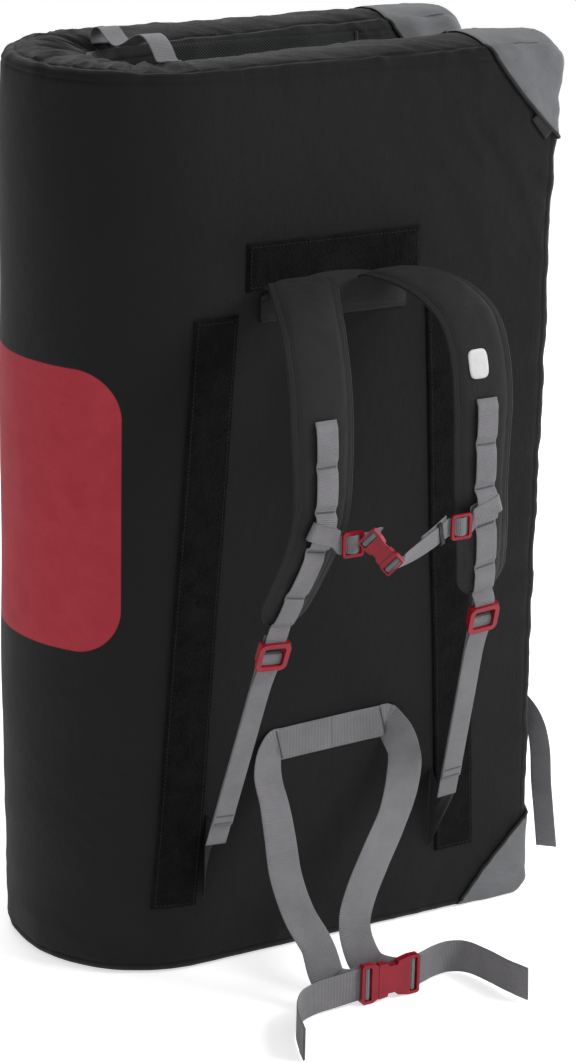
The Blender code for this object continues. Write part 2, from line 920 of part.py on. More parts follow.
def make_wing(name, side, carrier):
    """The cloth wing that ties the adjuster webbing to the pad's face."""
    frame = lock_frame(side)
    length = (frame.translation - anchor_point(side)).length
    back_n = middle_bar_place()[1] - lock_bar / 2 - seat - webbing
    lap_n = back_n - seat - fabric / 2

    def place(u, v, w):
        sewn_z = mix(wing_sew_top, wing_sew_bottom, u)
        sewn = on_face(harness_x + side * wing_sew_x, sewn_z, soft_seat)
        outward = -side if (frame.to_3x3() @ Y).dot(X) > 0 else side
        edge_c = strap_width * (u - 0.5) * outward * -1
        edge = frame @ Vector((-length + wing_lap * (1 - u), edge_c, lap_n))
        spot = sewn.lerp(edge, v)
        tangent = (edge - sewn).normalized()
        run = (frame.to_3x3() @ Y) * (-outward)
        face = tangent.cross(mix(-Z, run, v)).normalized()
        return spot + face * (w - 0.5) * fabric

    shape = block(shares(3), shares(4), (0, 1), place)
    piece(f"anchor_wing_{name}", shape, "padding", carrier)


# Buckles


def buckle_sizes(width):
    """Sizes of a side-release buckle, all worked out from its webbing's width.

    Its frame has X from the socket to the plug, which meet at zero, and Z out of its face.
    """
    bar = 0.05 * width + 1.57 * webbing
    opening = bar / 2 + seat + webbing + ladder_clearance
    wall = 0.09 * width
    slot = width / 2 + soft_seat
    body_length = width
    root = 0.20 * width
    return {
        "bar": bar,
        "radius": bar / 2 + seat + webbing / 2,
        "opening": opening,
        "wall": wall,
        "slot": slot,
        "half": slot + wall,
        "thick": 0.13 * width + 2.5 * webbing,
        "tongue": 0.05 * width + 0.9 * webbing,
        "body": body_length,
        "root": root,
        "bar_n": -0.1 * (0.13 * width + 2.5 * webbing),
        "socket_bar": -(body_length + ladder_margin + opening),
        "socket_end": -(body_length + ladder_margin + 2 * opening + wall),
        "plug_bar": root + ladder_margin + opening,
        "turn": (bar - webbing) / 2,
        "plug_end": root + ladder_margin + 2 * opening + wall,
    }


def cut_ladder(shape, name, size, frame, bar_s, end, carrier):
    """Cuts the webbing's opening and the rebate behind the end rail, then adds the bar."""
    opening = size["opening"]
    thick = size["thick"]
    hole = plate(rounded(opening, size["slot"], webbing, bar_s), -thick, thick, frame)
    combine(shape, helper(f"opening_{name}", hole, carrier), "DIFFERENCE")
    low, high = sorted((bar_s + end * 0.8 * opening, bar_s + end * (opening + 2 * size["wall"])))
    slot = size["slot"]
    outline = ((low, -slot), (high, -slot), (high, slot), (low, slot))
    rebate = plate(outline, -thick, size["bar_n"] + seat, frame)
    combine(shape, helper(f"rebate_{name}", rebate, carrier), "DIFFERENCE")
    bar = bmesh.new()
    add_bar(bar, frame, bar_s, size["bar_n"], size["bar"] / 2, slot + size["wall"] / 2)
    combine(shape, helper(f"bar_{name}", bar, carrier), "UNION")


def make_socket(name, frame, width, carrier):
    """The hollow half: arms go in at its mouth, webbing goes round the bar at its other end."""
    size = buckle_sizes(width)
    half, thick, deep, wall = size["half"], size["thick"], size["body"], size["wall"]
    end = size["socket_end"]
    chamfer = 0.7 * wall
    lower = [
        (0, -0.90 * half),
        (-0.18 * deep, -0.88 * half),
        (-0.45 * deep, -0.80 * half),
        (-0.72 * deep, -0.90 * half),
        (-deep, -half),
        (end + chamfer, -half),
        (end, -half + chamfer),
    ]
    outline = lower + [(s, -c) for s, c in reversed(lower)]
    shape = piece(name, plate(outline, -thick / 2, thick / 2, frame), "hardware", carrier)
    room = size["tongue"] / 2 + mouth_clearance
    inside = 0.90 * half - 0.8 * wall
    back = -0.84 * deep
    hollow = plate(
        ((wall, -inside), (back, -inside), (back, inside), (wall, inside)), -room, room, frame
    )
    combine(shape, helper(f"hollow_{name}", hollow, carrier), "DIFFERENCE")
    notches = bmesh.new()
    for edge in (-1, 1):
        inner, outer = edge * 0.90 * inside, edge * 1.5 * half
        ends = ((-0.32 * deep, inner), (-0.62 * deep, inner), (-0.70 * deep, outer))
        outline = (*ends, (-0.24 * deep, outer))
        plate(outline, -thick, thick, frame, notches)
    combine(shape, helper(f"notches_{name}", notches, carrier), "DIFFERENCE")
    cut_ladder(shape, name, size, frame, size["socket_bar"], -1, carrier)
    soften(shape, 0.17 * webbing)


def make_plug(name, frame, width, carrier):
    """The half that goes in: two sprung arms, a guide between them and a webbing bar."""
    size = buckle_sizes(width)
    half, thick, deep, wall = size["half"], size["thick"], size["body"], size["wall"]
    root, end = size["root"], size["plug_end"]
    inside = 0.90 * half - 0.8 * wall - mouth_clearance
    arm = 0.085 * width
    tip = -0.78 * deep
    start = root / 2
    outer_arm = [
        (start, 0.97 * inside),
        (-0.20 * deep, 0.90 * inside),
        (-0.34 * deep, inside),
        (-0.62 * deep, inside),
        (tip, inside - arm),
        (tip, inside - 1.8 * arm),
        (-0.40 * deep, inside - 1.6 * arm),
        (start, 0.60 * inside),
    ]
    guide = (
        (start, 0.09 * width),
        (tip, 0.05 * width),
        (tip, -0.05 * width),
        (start, -0.09 * width),
    )
    near = mouth_clearance
    chamfer = 0.7 * wall
    upper = [(near, 0.85 * half), (root, half), (end - chamfer, half), (end, half - chamfer)]
    outline = upper + [(s, -c) for s, c in reversed(upper)]
    shape = piece(name, plate(outline, -thick / 2, thick / 2, frame), "hardware", carrier)
    tongue = size["tongue"] / 2
    arms = plate(guide, -tongue, tongue, frame)
    plate(outer_arm, -tongue, tongue, frame, arms)
    plate([(s, -c) for s, c in reversed(outer_arm)], -tongue, tongue, frame, arms)
    combine(shape, helper(f"arms_{name}", arms, carrier), "UNION")
    cut_ladder(shape, name, size, frame, size["plug_bar"], 1, carrier)
    soften(shape, 0.17 * webbing)


def loop_view(width, end, rear_run, front_run):
    """Side view of webbing round a bar, from its rear layer to its front one behind the rail.

    End is 1 for a plug and -1 for a socket. The runs are the lengths of the two layers.
    """
    size = buckle_sizes(width)
    bar_s = size["plug_bar"] if end > 0 else size["socket_bar"]
    bar_n, radius, bend = size["bar_n"], size["radius"], size["turn"]
    view = [(rear_run, -radius), (rear_run / 2, -radius)]
    view += turn(0, 0, radius, 270, 0, 10)
    view += turn(radius + bend, 0, bend, 180, 270, 3)[1:]
    if front_run > radius + bend:
        view += [(front_run, -bend)]
    return [(bar_s + end * s, bar_n + n) for s, n in view]


def leg_view(width, run):
    """Side view of webbing that comes behind the socket and goes up through its inner slot."""
    size = buckle_sizes(width)
    bar_s, bar_n, radius = size["socket_bar"], size["bar_n"], size["radius"]
    bend = size["turn"]
    rear = -size["thick"] / 2 - leg_turn
    view = [(bar_s + radius + leg_turn + run * share, rear) for share in (1, 0.5)]
    view += turn(bar_s + radius + leg_turn, rear + leg_turn, leg_turn, 270, 180, 4)
    view += turn(bar_s, bar_n, radius, 0, 180, 8)
    view += turn(bar_s - radius - bend, bar_n, bend, 0, -90, 3)[1:]
    return view


def placed(frame, side_view):
    return [frame @ Vector((s, 0, n)) for s, n in side_view]


def hung(route_shares, start, end):
    """Points of webbing between two ends, from its table of shares."""
    span = (end - start).length
    return [start.lerp(end, share) + Vector(off) * span for share, *off in route_shares]


def trailed(route_shares, start, length):
    """Points of a free tail, from its table of shares."""
    return [start + Vector(point) * length for point in route_shares]


def joined(*runs):
    """Runs of webbing as (points, directions across), put end to end."""
    route = []
    acrosses = []
    for points, directions in runs:
        route += points
        if isinstance(directions, Vector):
            directions = [directions] * len(points)
        acrosses += directions
    return route, acrosses


def eased(points, directions, steps):
    """More points on a smooth curve through a run, and the directions between its own."""
    if isinstance(directions, Vector):
        directions = [directions] * len(points)
    places = shares(steps)
    return (
        [curve_through(points, share) for share in places],
        [curve_through(directions, share) for share in places],
    )


def directions_of(*pairs):
    """A list of directions, each given with how many points it's for."""
    found = []
    for count, direction in pairs:
        found += [Vector(direction).normalized()] * count
    return found


# Sternum strap


def make_glide(name, frame, carrier):
    half_c = sternum_width / 2 + soft_seat
    outer = rounded(glide_half_length, half_c + glide_rail, glide_rail, steps=3)
    shape = plate(outer, -glide_thickness / 2, glide_thickness / 2, frame)
    glide = piece(name, shape, "hardware", carrier)
    window = rounded(glide_half_length - glide_rail, half_c, glide_bar / 2, steps=2)
    cutter = plate(window, -glide_thickness, glide_thickness, frame)
    combine(glide, helper(f"window_{name}", cutter, carrier), "DIFFERENCE")
    outline = (
        (-glide_bar / 2, -half_c - glide_rail / 2),
        (glide_bar / 2, -half_c - glide_rail / 2),
        (glide_bar / 2, half_c + glide_rail / 2),
        (-glide_bar / 2, half_c + glide_rail / 2),
    )
    bar = plate(outline, -0.4 * glide_thickness, 0, frame)
    combine(glide, helper(f"centre_bar_{name}", bar, carrier), "UNION")


def glide_frame(x, side):
    """A tri-glide's frame: X from its shoulder strap towards the buckle."""
    return frame_at(Vector((x, -half_thickness - glide_depth, glide_height)), -side * X, -Y)


def glide_run(x, side):
    """A sternum webbing's run: a loop round the daisy webbing, then through the tri-glide."""
    frame = glide_frame(x, side)
    under = -glide_thickness / 2 - soft_seat - webbing / 2
    over = 2 * soft_seat + webbing / 2
    return_n = under - seat - webbing
    point, tangent, across, face = shoulder_frame(side, sternum_loop_share)
    up = tangent * math.copysign(1, tangent.z)
    level = across * math.copysign(1, side * across.x)
    outward = level * math.cos(sternum_slant) + up * math.sin(sternum_slant)
    width_way = up * math.cos(sternum_slant) - level * math.sin(sternum_slant)
    low = 2 * soft_seat + webbing / 2
    high = 2 * soft_seat + daisy_rise + 1.5 * webbing
    radius = (high - low) / 2
    edge = strap_width / 2 - radius / 2 + 0.6 * sternum_width * math.tan(sternum_slant)
    near = -0.64 * strap_width

    def at_daisy(offset, rise):
        return point + outward * offset + face * rise

    window = glide_half_length - glide_rail
    clear = 1.15 * glide_half_length
    points = placed(frame, ((window, return_n), (0, return_n), (-clear, return_n)))
    points += [at_daisy(near, low), at_daisy(0, low), at_daisy(edge, low)]
    for s, n in turn(edge, low + radius, radius, -60, 60, 4):
        points.append(at_daisy(s, n))
    points += [at_daisy(edge, high), at_daisy(0, high), at_daisy(near, high)]
    over_view = (
        (-clear, under),
        (-window, under),
        (-0.65 * glide_bar, over),
        (0.65 * glide_bar, over),
        (window, under),
        (clear, under),
    )
    points += placed(frame, over_view)
    return points, directions_of((3, Z), (11, width_way), (6, Z))


def folded_view(width, end, depth):
    """Side view of webbing that comes through a buckle from behind, round its bar and back."""
    size = buckle_sizes(width)
    bar_s = size["plug_bar"] if end > 0 else size["socket_bar"]
    bar_n, radius = size["bar_n"], size["radius"]
    clear = -size["thick"] / 2 - webbing
    lap = radius - webbing - seat
    view = [(radius, -depth), (radius, mix(clear, -depth, 0.5)), (radius, clear)]
    view += [(s, bar_n + n) for s, n in turn(0, 0, radius, 0, 180, 8)]
    view += [(-radius, clear), (lap, mix(clear, -depth, 0.6)), (lap, -depth)]
    return [(bar_s + end * s, n) for s, n in view]


def make_sternum(carrier):
    """Sternum strap: tri-glides on both daisy webbings and a small side-release between."""
    y = -half_thickness - sternum_buckle_depth
    origin = Vector((sternum_buckle_x, y, sternum_buckle_height))
    frame = frame_at(origin, Vector(sternum_axis), Vector(sternum_facing))
    plug_body = body("sternum_plug_slide", origin, carrier)
    size = buckle_sizes(sternum_width)
    way = (frame.to_3x3() @ Y).normalized()
    way = way * math.copysign(1, way.z)
    make_socket("sternum_socket", frame, sternum_width, carrier)
    make_plug("sternum_plug", frame, sternum_width, plug_body)
    for name, x, side in (("left", left_glide_x, -1), ("right", right_glide_x, 1)):
        make_glide(f"sternum_glide_{name}", glide_frame(x, side), carrier)
    loop = placed(frame, folded_view(sternum_width, -1, sternum_fold_back))
    run, run_ways = glide_run(left_glide_x, -1)
    start, end = run[-1], loop[0]
    back = (frame.to_3x3() @ Z).normalized() * sternum_fold_back / 2
    height = Z * (end.z - start.z)
    curl = [
        start.lerp(Vector((sternum_curl_x, start.y, start.z)), 0.5),
        Vector((sternum_curl_x, mix(start.y, end.y, 0.2), start.z)) + height * 0.35,
        Vector((sternum_curl_x, mix(start.y, end.y, 0.7), start.z)) + height * 0.7,
        end - back + Vector((0, 0, -0.1 * height.z)),
    ]
    bridge = [start, *curl, end]
    turned = [Z, Z, Z.lerp(way, 0.35), Z.lerp(way, 0.7), way, way]
    middle = tuple(part[1:-1] for part in eased(bridge, turned, 15))
    left = joined((run, run_ways), middle, (loop, way))
    shape = strap(*left, sternum_width, squared=False)
    piece("sternum_webbing_left", shape, "webbing", carrier)
    loop_view_points = folded_view(sternum_width, 1, sternum_fold_back)
    loop = placed(frame, loop_view_points)
    shape = strap(loop, [way] * len(loop), sternum_width)
    piece("sternum_webbing_plug", shape, "webbing", plug_body)
    last_s = loop_view_points[0][0]
    meet_n = -sternum_fold_back - lap_gap
    ends = placed(frame, ((last_s, meet_n - sternum_fold_back / 2), (last_s, meet_n)))
    run, run_ways = glide_run(right_glide_x, 1)
    slack = hung(sternum_slack_shares, run[-1], ends[0])
    ways = [Z, *(Z.lerp(way, share) for share in (0.25, 0.5, 0.75)), way, way]
    tail = tuple(part[1:] for part in eased([run[-1], *slack, *ends], ways, 14))
    shape = strap(*joined((run, run_ways), tail), sternum_width, squared=False)
    piece("sternum_webbing_right", shape, "webbing", carrier)


# Waist belt


def make_belt(carrier):
    size = buckle_sizes(belt_width)
    height = belt_floor_gap + size["half"]
    origin = Vector((belt_buckle_x, -half_thickness - belt_buckle_depth, height))
    frame = frame_at(origin, -X, -Y)
    plug_body = body("waist_plug_slide", origin, carrier)
    make_socket("waist_socket", frame, belt_width, carrier)
    make_plug("waist_plug", frame, belt_width, plug_body)
    lap_n = size["bar_n"] - size["radius"] - webbing - lap_gap
    lap = placed(frame, ((size["plug_bar"] + s, lap_n) for s in (0, 2 * stub_length)))
    band = []
    for x_share, z_share in belt_band_shares:
        x = harness_x + belt_width * x_share
        z = belt_band_height + belt_width * z_share
        band.append(on_face(x, z, soft_seat + webbing / 2))
    left_leg = hung(left_leg_shares, lap[-1], band[0])
    down = (1, 0, 0)
    left_ways = directions_of((2, Z), (1, (0.6, 0, 0.8)), (1, (0.9, 0, 0.4)))
    left_ways += directions_of((4, down), (1, (0.9, 0, -0.3)), (1, (0.6, 0, -0.8)))
    right_ways = directions_of(
        (1, (-0.5, 0, -0.85)),
        (1, (-0.95, 0, -0.3)),
        (1, (-0.9, 0, 0.3)),
        (2, (-0.75, 0, 0.65)),
        (1, (-0.9, 0, 0.4)),
        (1, (-1, 0, -0.1)),
        (1, (-0.5, 0, -0.85)),
    )
    socket_view = leg_view(belt_width, 0.3 * belt_width)
    socket = placed(frame, socket_view)
    right_leg = hung(right_leg_shares, band[-1], socket[0])
    points = [*lap, *left_leg, *band, *right_leg, socket[0]]
    ways = left_ways + directions_of((3, (0.15, 0, -1))) + right_ways + directions_of((1, -Z))
    first = eased(points, ways, 84)
    tail_points = [socket[-1], *trailed(right_tail_shares, socket[-1], right_tail_length)]
    second = tuple(part[1:] for part in eased(tail_points, -Z, 20))
    route = joined(first, (socket[1:], -Z), second)
    piece("belt_webbing", strap(*route, belt_width), "webbing", carrier)
    plug = placed(frame, loop_view(belt_width, 1, stub_length, size["opening"] + webbing))
    tail_points = [plug[-1], *trailed(left_tail_shares, plug[-1], left_tail_length)]
    second = tuple(part[1:] for part in eased(tail_points, Z, 18))
    route = joined((plug, Z), second)
    piece("belt_tail_left", strap(*route, belt_width), "webbing", plug_body)


# Closing straps


def on_end(side, depth, z, out):
    """A point on a half's open end, at a distance out of it."""
    x = rim_x(z) + bulge_at(depth) + out
    return at_half(side, x, depth, z)


def make_closure(name, height, tail_shares, tail_length, front, back):
    """A side-release buckle across the open end, sewn to both halves."""
    x = rim_x(height) + gusset_bulge + closure_standoff
    origin = Vector((x, closure_mouth_y, height))
    frame = frame_at(origin, -Y, X)
    size = buckle_sizes(strap_width)
    plug_body = body(f"closure_plug_slide_{name}", origin, front)
    make_socket(f"closure_socket_{name}", frame, strap_width, back)
    make_plug(f"closure_plug_{name}", frame, strap_width, plug_body)
    lap_n = size["bar_n"] - size["radius"] - webbing - lap_gap
    lap = placed(frame, ((size["plug_bar"] + s, lap_n) for s in (0, stub_length, 2 * stub_length)))
    low = soft_seat + webbing / 2
    sewn = [on_end(FRONT, share * half_thickness, height, low) for share in (-0.35, 0.0, 0.3, 0.6)]
    points, ways = eased([*lap, *sewn], Z, 16)
    piece(f"closure_webbing_{name}", strap(points, ways, strap_width), "webbing", front)
    loop = placed(frame, loop_view(strap_width, 1, stub_length, size["opening"] + webbing))
    tail = eased(
        [loop[-1], *trailed(tail_shares, loop[-1], tail_length)],
        directions_of((2, -Z), (1, (0, 0.35, -0.95)), (1, (0, 0.85, -0.5)))
        + directions_of((len(tail_shares) - 3, Y)),
        22,
    )
    route = joined((loop, -Z), tuple(part[1:] for part in tail))
    piece(f"closure_tail_{name}", strap(*route, strap_width), "webbing", plug_body)
    view = loop_view(strap_width, -1, size["opening"] + webbing, size["opening"] + webbing)
    loop = placed(frame, view)
    start, end = -0.35, 0.2
    rear = [on_end(BACK, share * half_thickness, height, low) for share in (end, -0.07, start)]
    high = low + webbing + seat
    upper = [on_end(BACK, share * half_thickness, height, high) for share in (start, -0.07, end)]
    points = [*rear, *loop, *upper]
    shape = strap(points, [Z] * len(points), strap_width)
    piece(f"closure_loop_{name}", shape, "webbing", back)


# Top edge


def make_handle(carrier):
    """A webbing loop that stands over the fold, for carrying the shut pad."""
    base = panel_height + gusset_bulge + soft_seat + webbing / 2
    points = []
    for share, rise in (
        (0, 0),
        (0.06, 0),
        (0.12, 0.08),
        (0.22, 0.55),
        (0.36, 0.92),
        (0.52, 1.0),
        (0.68, 0.86),
        (0.80, 0.50),
        (0.89, 0.08),
        (0.94, 0),
        (1, 0),
    ):
        y = handle_y + handle_length * share
        points.append(Vector((handle_x, y, base + handle_rise * rise)))
    route = eased(points, X, 30)
    piece("grab_handle", strap(*route, strap_width), "webbing", carrier)


def make_vent(carrier):
    def place(u, v, w):
        x = mix(vent_left, vent_right, u)
        z = panel_height - vent_inset - vent_height * v
        out = seat + vent_thickness * w
        return at_half(BACK, x, landing_depth(x, z) - out, z)

    piece("mesh_vent", block(shares(6), shares(6), (0, 1), place), "mesh", carrier)


def main():
    clear_scene()
    front = body("front_half", (0, 0, 0))
    carriers = []
    parent = front
    for index in range(fold_segments + 1):
        label = f"fold_{index + 1}" if index < fold_segments else "back_half"
        parent = body(label, fold_point(hinge_radius, index * fold_step, 0), parent)
        carriers.append(parent)
    back = carriers[-1]
    make_half(FRONT, front)
    make_half(BACK, back)
    for index in range(fold_segments):
        piece(f"fold_segment_{index + 1}", fold_segment(index), "black_cover", carriers[index])
    make_strips(front, carriers[0])
    make_yoke(front)
    for name, side in (("left", -1), ("right", 1)):
        make_shoulder_pad(name, side, front)
        make_daisy(name, side, front)
        make_ladder_lock(name, side, front)
        make_adjuster(name, side, front)
        make_wing(name, side, front)
    make_sternum(front)
    make_belt(front)
    tails = (
        ("upper", upper_tail_shares, upper_tail_length),
        ("lower", lower_tail_shares, lower_tail_length),
    )
    for (name, tail_shares, tail_length), share in zip(tails, closure_height_shares):
        make_closure(name, share * panel_height, tail_shares, tail_length, front, back)
    make_handle(carriers[0])
    make_vent(back)


main()
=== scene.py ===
"""Dresses the folded crash pad: cloth covers, harness, webbing, buckles, light and camera.

Metres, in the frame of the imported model. The front half carries the harness, the fold is on the
left, and the open end is on the right.
"""

import math

import bpy
import numpy as np
from mathutils import Matrix, Vector, noise
from mathutils.bvhtree import BVHTree


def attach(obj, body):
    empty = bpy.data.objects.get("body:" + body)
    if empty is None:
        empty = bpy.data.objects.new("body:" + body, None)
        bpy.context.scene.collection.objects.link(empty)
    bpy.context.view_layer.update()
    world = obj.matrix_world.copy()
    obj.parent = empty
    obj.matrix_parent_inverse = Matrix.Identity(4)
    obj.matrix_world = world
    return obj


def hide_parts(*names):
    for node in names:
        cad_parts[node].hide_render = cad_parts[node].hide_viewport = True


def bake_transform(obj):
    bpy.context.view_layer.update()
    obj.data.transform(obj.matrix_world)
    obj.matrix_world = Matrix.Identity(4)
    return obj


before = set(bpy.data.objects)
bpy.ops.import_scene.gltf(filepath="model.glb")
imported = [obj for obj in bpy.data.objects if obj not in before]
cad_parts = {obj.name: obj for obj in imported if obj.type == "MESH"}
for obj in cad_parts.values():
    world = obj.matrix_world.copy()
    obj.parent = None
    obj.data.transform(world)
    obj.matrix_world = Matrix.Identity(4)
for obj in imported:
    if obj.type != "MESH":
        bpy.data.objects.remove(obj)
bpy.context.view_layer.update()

X = Vector((1, 0, 0))
Y = Vector((0, 1, 0))
Z = Vector((0, 0, 1))
PI = math.pi

# Pad
panel_height = 1.000
open_length = 1.330
pad_thickness = 0.100
fold_gap = 0.100
fabric = 0.0012
seat = 0.0003
soft_seat = 0.0006
face_crown = 0.005
landing_crown = 0.003
gusset_bulge = 0.006
corner_radius = 0.024
corner_flare = 0.010
inner_radius = fold_gap / 2
outer_radius = inner_radius + pad_thickness
leg_length = (open_length - PI * outer_radius) / 2
open_x = (leg_length + outer_radius) / 2
fold_x = open_x - leg_length
half_thickness = pad_thickness / 2
fold_y = half_thickness + inner_radius
back_y = 2 * fold_y
hinge_radius = outer_radius + face_crown + seat
hinge_blend = 0.012
fold_step = PI / 6
cloth_gap = 0.0002
piping_radius = 0.0021

# Harness and webbing
harness_x = 0.006
webbing = 0.0014
strap_width = 0.025
sternum_width = 0.020
belt_width = 0.038
yoke_top = 0.766
yoke_height = 0.034
yoke_thickness = 0.007
yoke_half_width = 0.089
yoke_edge = 0.0022
yoke_arch = 0.020
yoke_drop = 0.006
strap_reach = 0.158
strap_spread = 0.131
lock_height = 0.404
pad_width = 0.070
pad_end_width = 0.054
pad_depth = 0.012
strap_top_lift = 0.012
pad_length = 0.47
pad_edge = 0.0030
pad_seam = 0.0060
pad_seam_depth = 0.0011
pad_round_start = 0.94
pad_taper_start = 0.55
daisy_tacks = (0.537, 0.6255, 0.716, 0.8105, 0.918, 1.0)
daisy_rise = 0.0048
daisy_bay_shares = ((0, 0), (0.05, 0), (0.16, 1), (0.86, 1), (0.95, 0))
anchor_x = 0.149
anchor_reach = 0.040
anchor_height = 0.160
wing_x = 0.146
wing_heights = (0.186, 0.086)
wing_lap = 0.016
wing_crease = 0.0016
tail_short = 0.028
lock_bar = 0.0030
lock_rail = 0.0055
lock_length = 0.034
lock_plate = 0.0036
glide_half_length = 0.0125
glide_rail = 0.0032
glide_bar = 0.0026
glide_thickness = 0.0030
glide_height = 0.532
glide_depth = 0.1645
left_glide_x = -0.0600
right_glide_x = 0.0725
sternum_loop_share = 0.7670
sternum_slant = math.radians(12)
ladder_clearance = 0.0007
ladder_margin = 0.0016
leg_turn = 0.0018
stub_length = 0.010
lap_gap = 0.0005
sternum_buckle = Vector((-0.0398, -0.2482, 0.5246))
sternum_fold_back = 0.011
sternum_curl_x = -0.0340
sternum_axis = Vector((0.45, -0.58, -0.68))
sternum_facing = Vector((-0.80, -0.58, -0.05))
belt_buckle = (-0.0110, -0.211)
belt_floor_gap = 0.0012
tail_length = 0.150
closure_heights = (0.775, 0.225)
closure_mouth_y = 0.0905
closure_standoff = 0.0080
handle_length = 0.161
handle_rise = 0.024
handle_x = -0.1555
handle_y = 0.014
vent_x = (-0.094, 0.150)
vent_reach = 0.158
vent_top_gap = 0.008

# Routes: shares of a span or a length, or points, some with the direction across the webbing
shoulder_route_shares = (
    (0.430, 0.088, 0.000), (0.442, 0.220, -0.020), (0.555, 0.430, -0.018), (0.655, 0.640, 0.010),
    (0.718, 0.820, 0.068), (0.740, 0.930, 0.165), (0.744, 0.985, 0.290), (0.737, 1.000, 0.425),
    (0.744, 1.000, 0.555), (0.800, 0.960, 0.670), (0.885, 0.865, 0.795), (0.955, 0.765, 0.905),
)
belt_gap = 0.0016
belt_left_lean = Vector((0.26, 0, -0.97))
belt_right_lean = Vector((0.24, 0, -0.97))
belt_band = ((-0.0565, 0.2522), (0.0100, 0.2546), (0.0888, 0.2566))
belt_left_leg = (
    ((-0.0664, -0.0637, 0.2424), (0.74, -0.67)), ((-0.0760, -0.0789, 0.2235), (0.96, -0.29)),
    ((-0.0780, -0.0966, 0.2009), (0.98, -0.19)), ((-0.0829, -0.1183, 0.1719), (1.00, 0.01)),
    ((-0.0885, -0.1423, 0.1366), (0.99, 0.14)), ((-0.0840, -0.1646, 0.0993), (0.98, 0.18)),
    ((-0.0708, -0.1820, 0.0664), (0.95, 0.31)),
)
belt_right_leg = (
    ((0.0990, -0.0773, 0.2254), (-0.92, -0.39)), ((0.0864, -0.0968, 0.2007), (-0.97, -0.24)),
    ((0.0598, -0.1203, 0.1691), (-0.96, 0.28)), ((0.0249, -0.1425, 0.1363), (-0.98, 0.20)),
    ((-0.0049, -0.1615, 0.1048), (-0.99, 0.10)), ((-0.0188, -0.1735, 0.0829), (-1.00, -0.07)),
    ((-0.0213, -0.1846, 0.0612), (-0.94, -0.33)),
)
left_leg_start = (0.033, -0.080, -0.012, 0.009)
right_leg_end = (0.967, -0.109, 0.011, 0.013)
handle_shape = (
    (0, 0), (0.05, 0), (0.12, 0.45), (0.20, 0.80), (0.30, 0.90), (0.42, 0.62), (0.53, 0.30), (0.64, 0.14),
    (0.76, 0.36), (0.86, 0.70), (0.94, 0.66), (0.985, 0.30), (0.97, 0), (0.93, 0),
)
sternum_slack_shares = ((0.25, 0, 0.004, -0.016), (0.50, 0, 0.006, -0.022), (0.75, 0, 0.004, -0.016))
sternum_end_bows = ((0.03, -0.004), (0.12, -0.010), (0.26, -0.017), (0.42, -0.021), (0.55, -0.0205))
left_tail_shares = (
    (-0.210, -0.005, -0.011), (-0.383, -0.015, -0.018), (-0.537, -0.075, -0.021),
    (-0.663, -0.221, -0.025), (-0.750, -0.408, -0.025), (-0.810, -0.575, -0.025),
)
right_tail_shares = (
    (0.125, 0.052, -0.005), (0.245, 0.105, -0.015), (0.385, 0.125, -0.021), (0.498, 0.052, -0.021),
    (0.551, -0.141, -0.018), (0.578, -0.355, -0.011), (0.618, -0.561, -0.001),
)
closing_tails = (
    ("upper", 0.100, ((0.010, -0.240, 0), (0.040, -0.400, -0.080), (0.060, -0.480, -0.260),
                      (0.040, -0.500, -0.600), (0.060, -0.490, -0.950))),
    ("lower", 0.190, ((0.005, -0.232, 0), (0.026, -0.411, -0.016), (0.063, -0.505, -0.121),
                      (0.100, -0.526, -0.295), (0.121, -0.526, -0.516), (0.147, -0.526, -0.700),
                      (0.189, -0.521, -0.974))),
)


# Materials


def node(tree, kind, values=None, **settings):
    made = tree.nodes.new(kind)
    for name, value in settings.items():
        setattr(made, name, value)
    for key, value in (values or {}).items():
        if isinstance(value, bpy.types.NodeSocket):
            tree.links.new(value, made.inputs[key])
        else:
            made.inputs[key].default_value = value
    return made


def maths(tree, operation, *values):
    return node(tree, "ShaderNodeMath", dict(enumerate(values)), operation=operation).outputs[0]


def new_material(name, roughness, **fixed):
    """A material, its tree, its shader, its object coordinates and its UV split in two."""
    made = bpy.data.materials.new(name)
    made.use_nodes = True
    tree = made.node_tree
    shader = tree.nodes["Principled BSDF"]
    shader.inputs["Roughness"].default_value = roughness
    for key, value in fixed.items():
        shader.inputs[key.replace("_", " ")].default_value = value
    place = node(tree, "ShaderNodeTexCoord")
    split = node(tree, "ShaderNodeSeparateXYZ", {0: place.outputs["UV"]})
    return made, tree, shader, place.outputs["Object"], split.outputs[0], split.outputs[1]


def spots(tree, vector, scale, detail=3.0, roughness=0.55):
    values = {"Vector": vector, "Scale": scale, "Detail": detail, "Roughness": roughness}
    return node(tree, "ShaderNodeTexNoise", values).outputs["Fac"]


def between(tree, factor, low, high, start=0.3, end=0.7):
    """Two colours mixed by a factor that runs from start to end."""
    ramp = node(tree, "ShaderNodeValToRGB", {"Fac": factor})
    ramp.color_ramp.elements[0].position = start
    ramp.color_ramp.elements[1].position = end
    ramp.color_ramp.elements[0].color = (*low, 1)
    ramp.color_ramp.elements[1].color = (*high, 1)
    return ramp.outputs[0]


def paint(tree, shader, factor, low, high, start=0.3, end=0.7):
    colour = between(tree, factor, low, high, start, end)
    tree.links.new(colour, shader.inputs["Base Color"])
    return colour


def summed(tree, *parts):
    """The sum of parts of (value, share)."""
    scaled = [maths(tree, "MULTIPLY", value, share) for value, share in parts]
    made = scaled[0]
    for part in scaled[1:]:
        made = maths(tree, "ADD", made, part)
    return made


def threads(tree, u, v, pitch_u, pitch_v):
    """Height of a plain weave, from -1 to 1."""
    wave_u = maths(tree, "SINE", maths(tree, "MULTIPLY", u, 2 * PI / pitch_u))
    wave_v = maths(tree, "SINE", maths(tree, "MULTIPLY", v, 2 * PI / pitch_v))
    return maths(tree, "MULTIPLY", wave_u, wave_v)


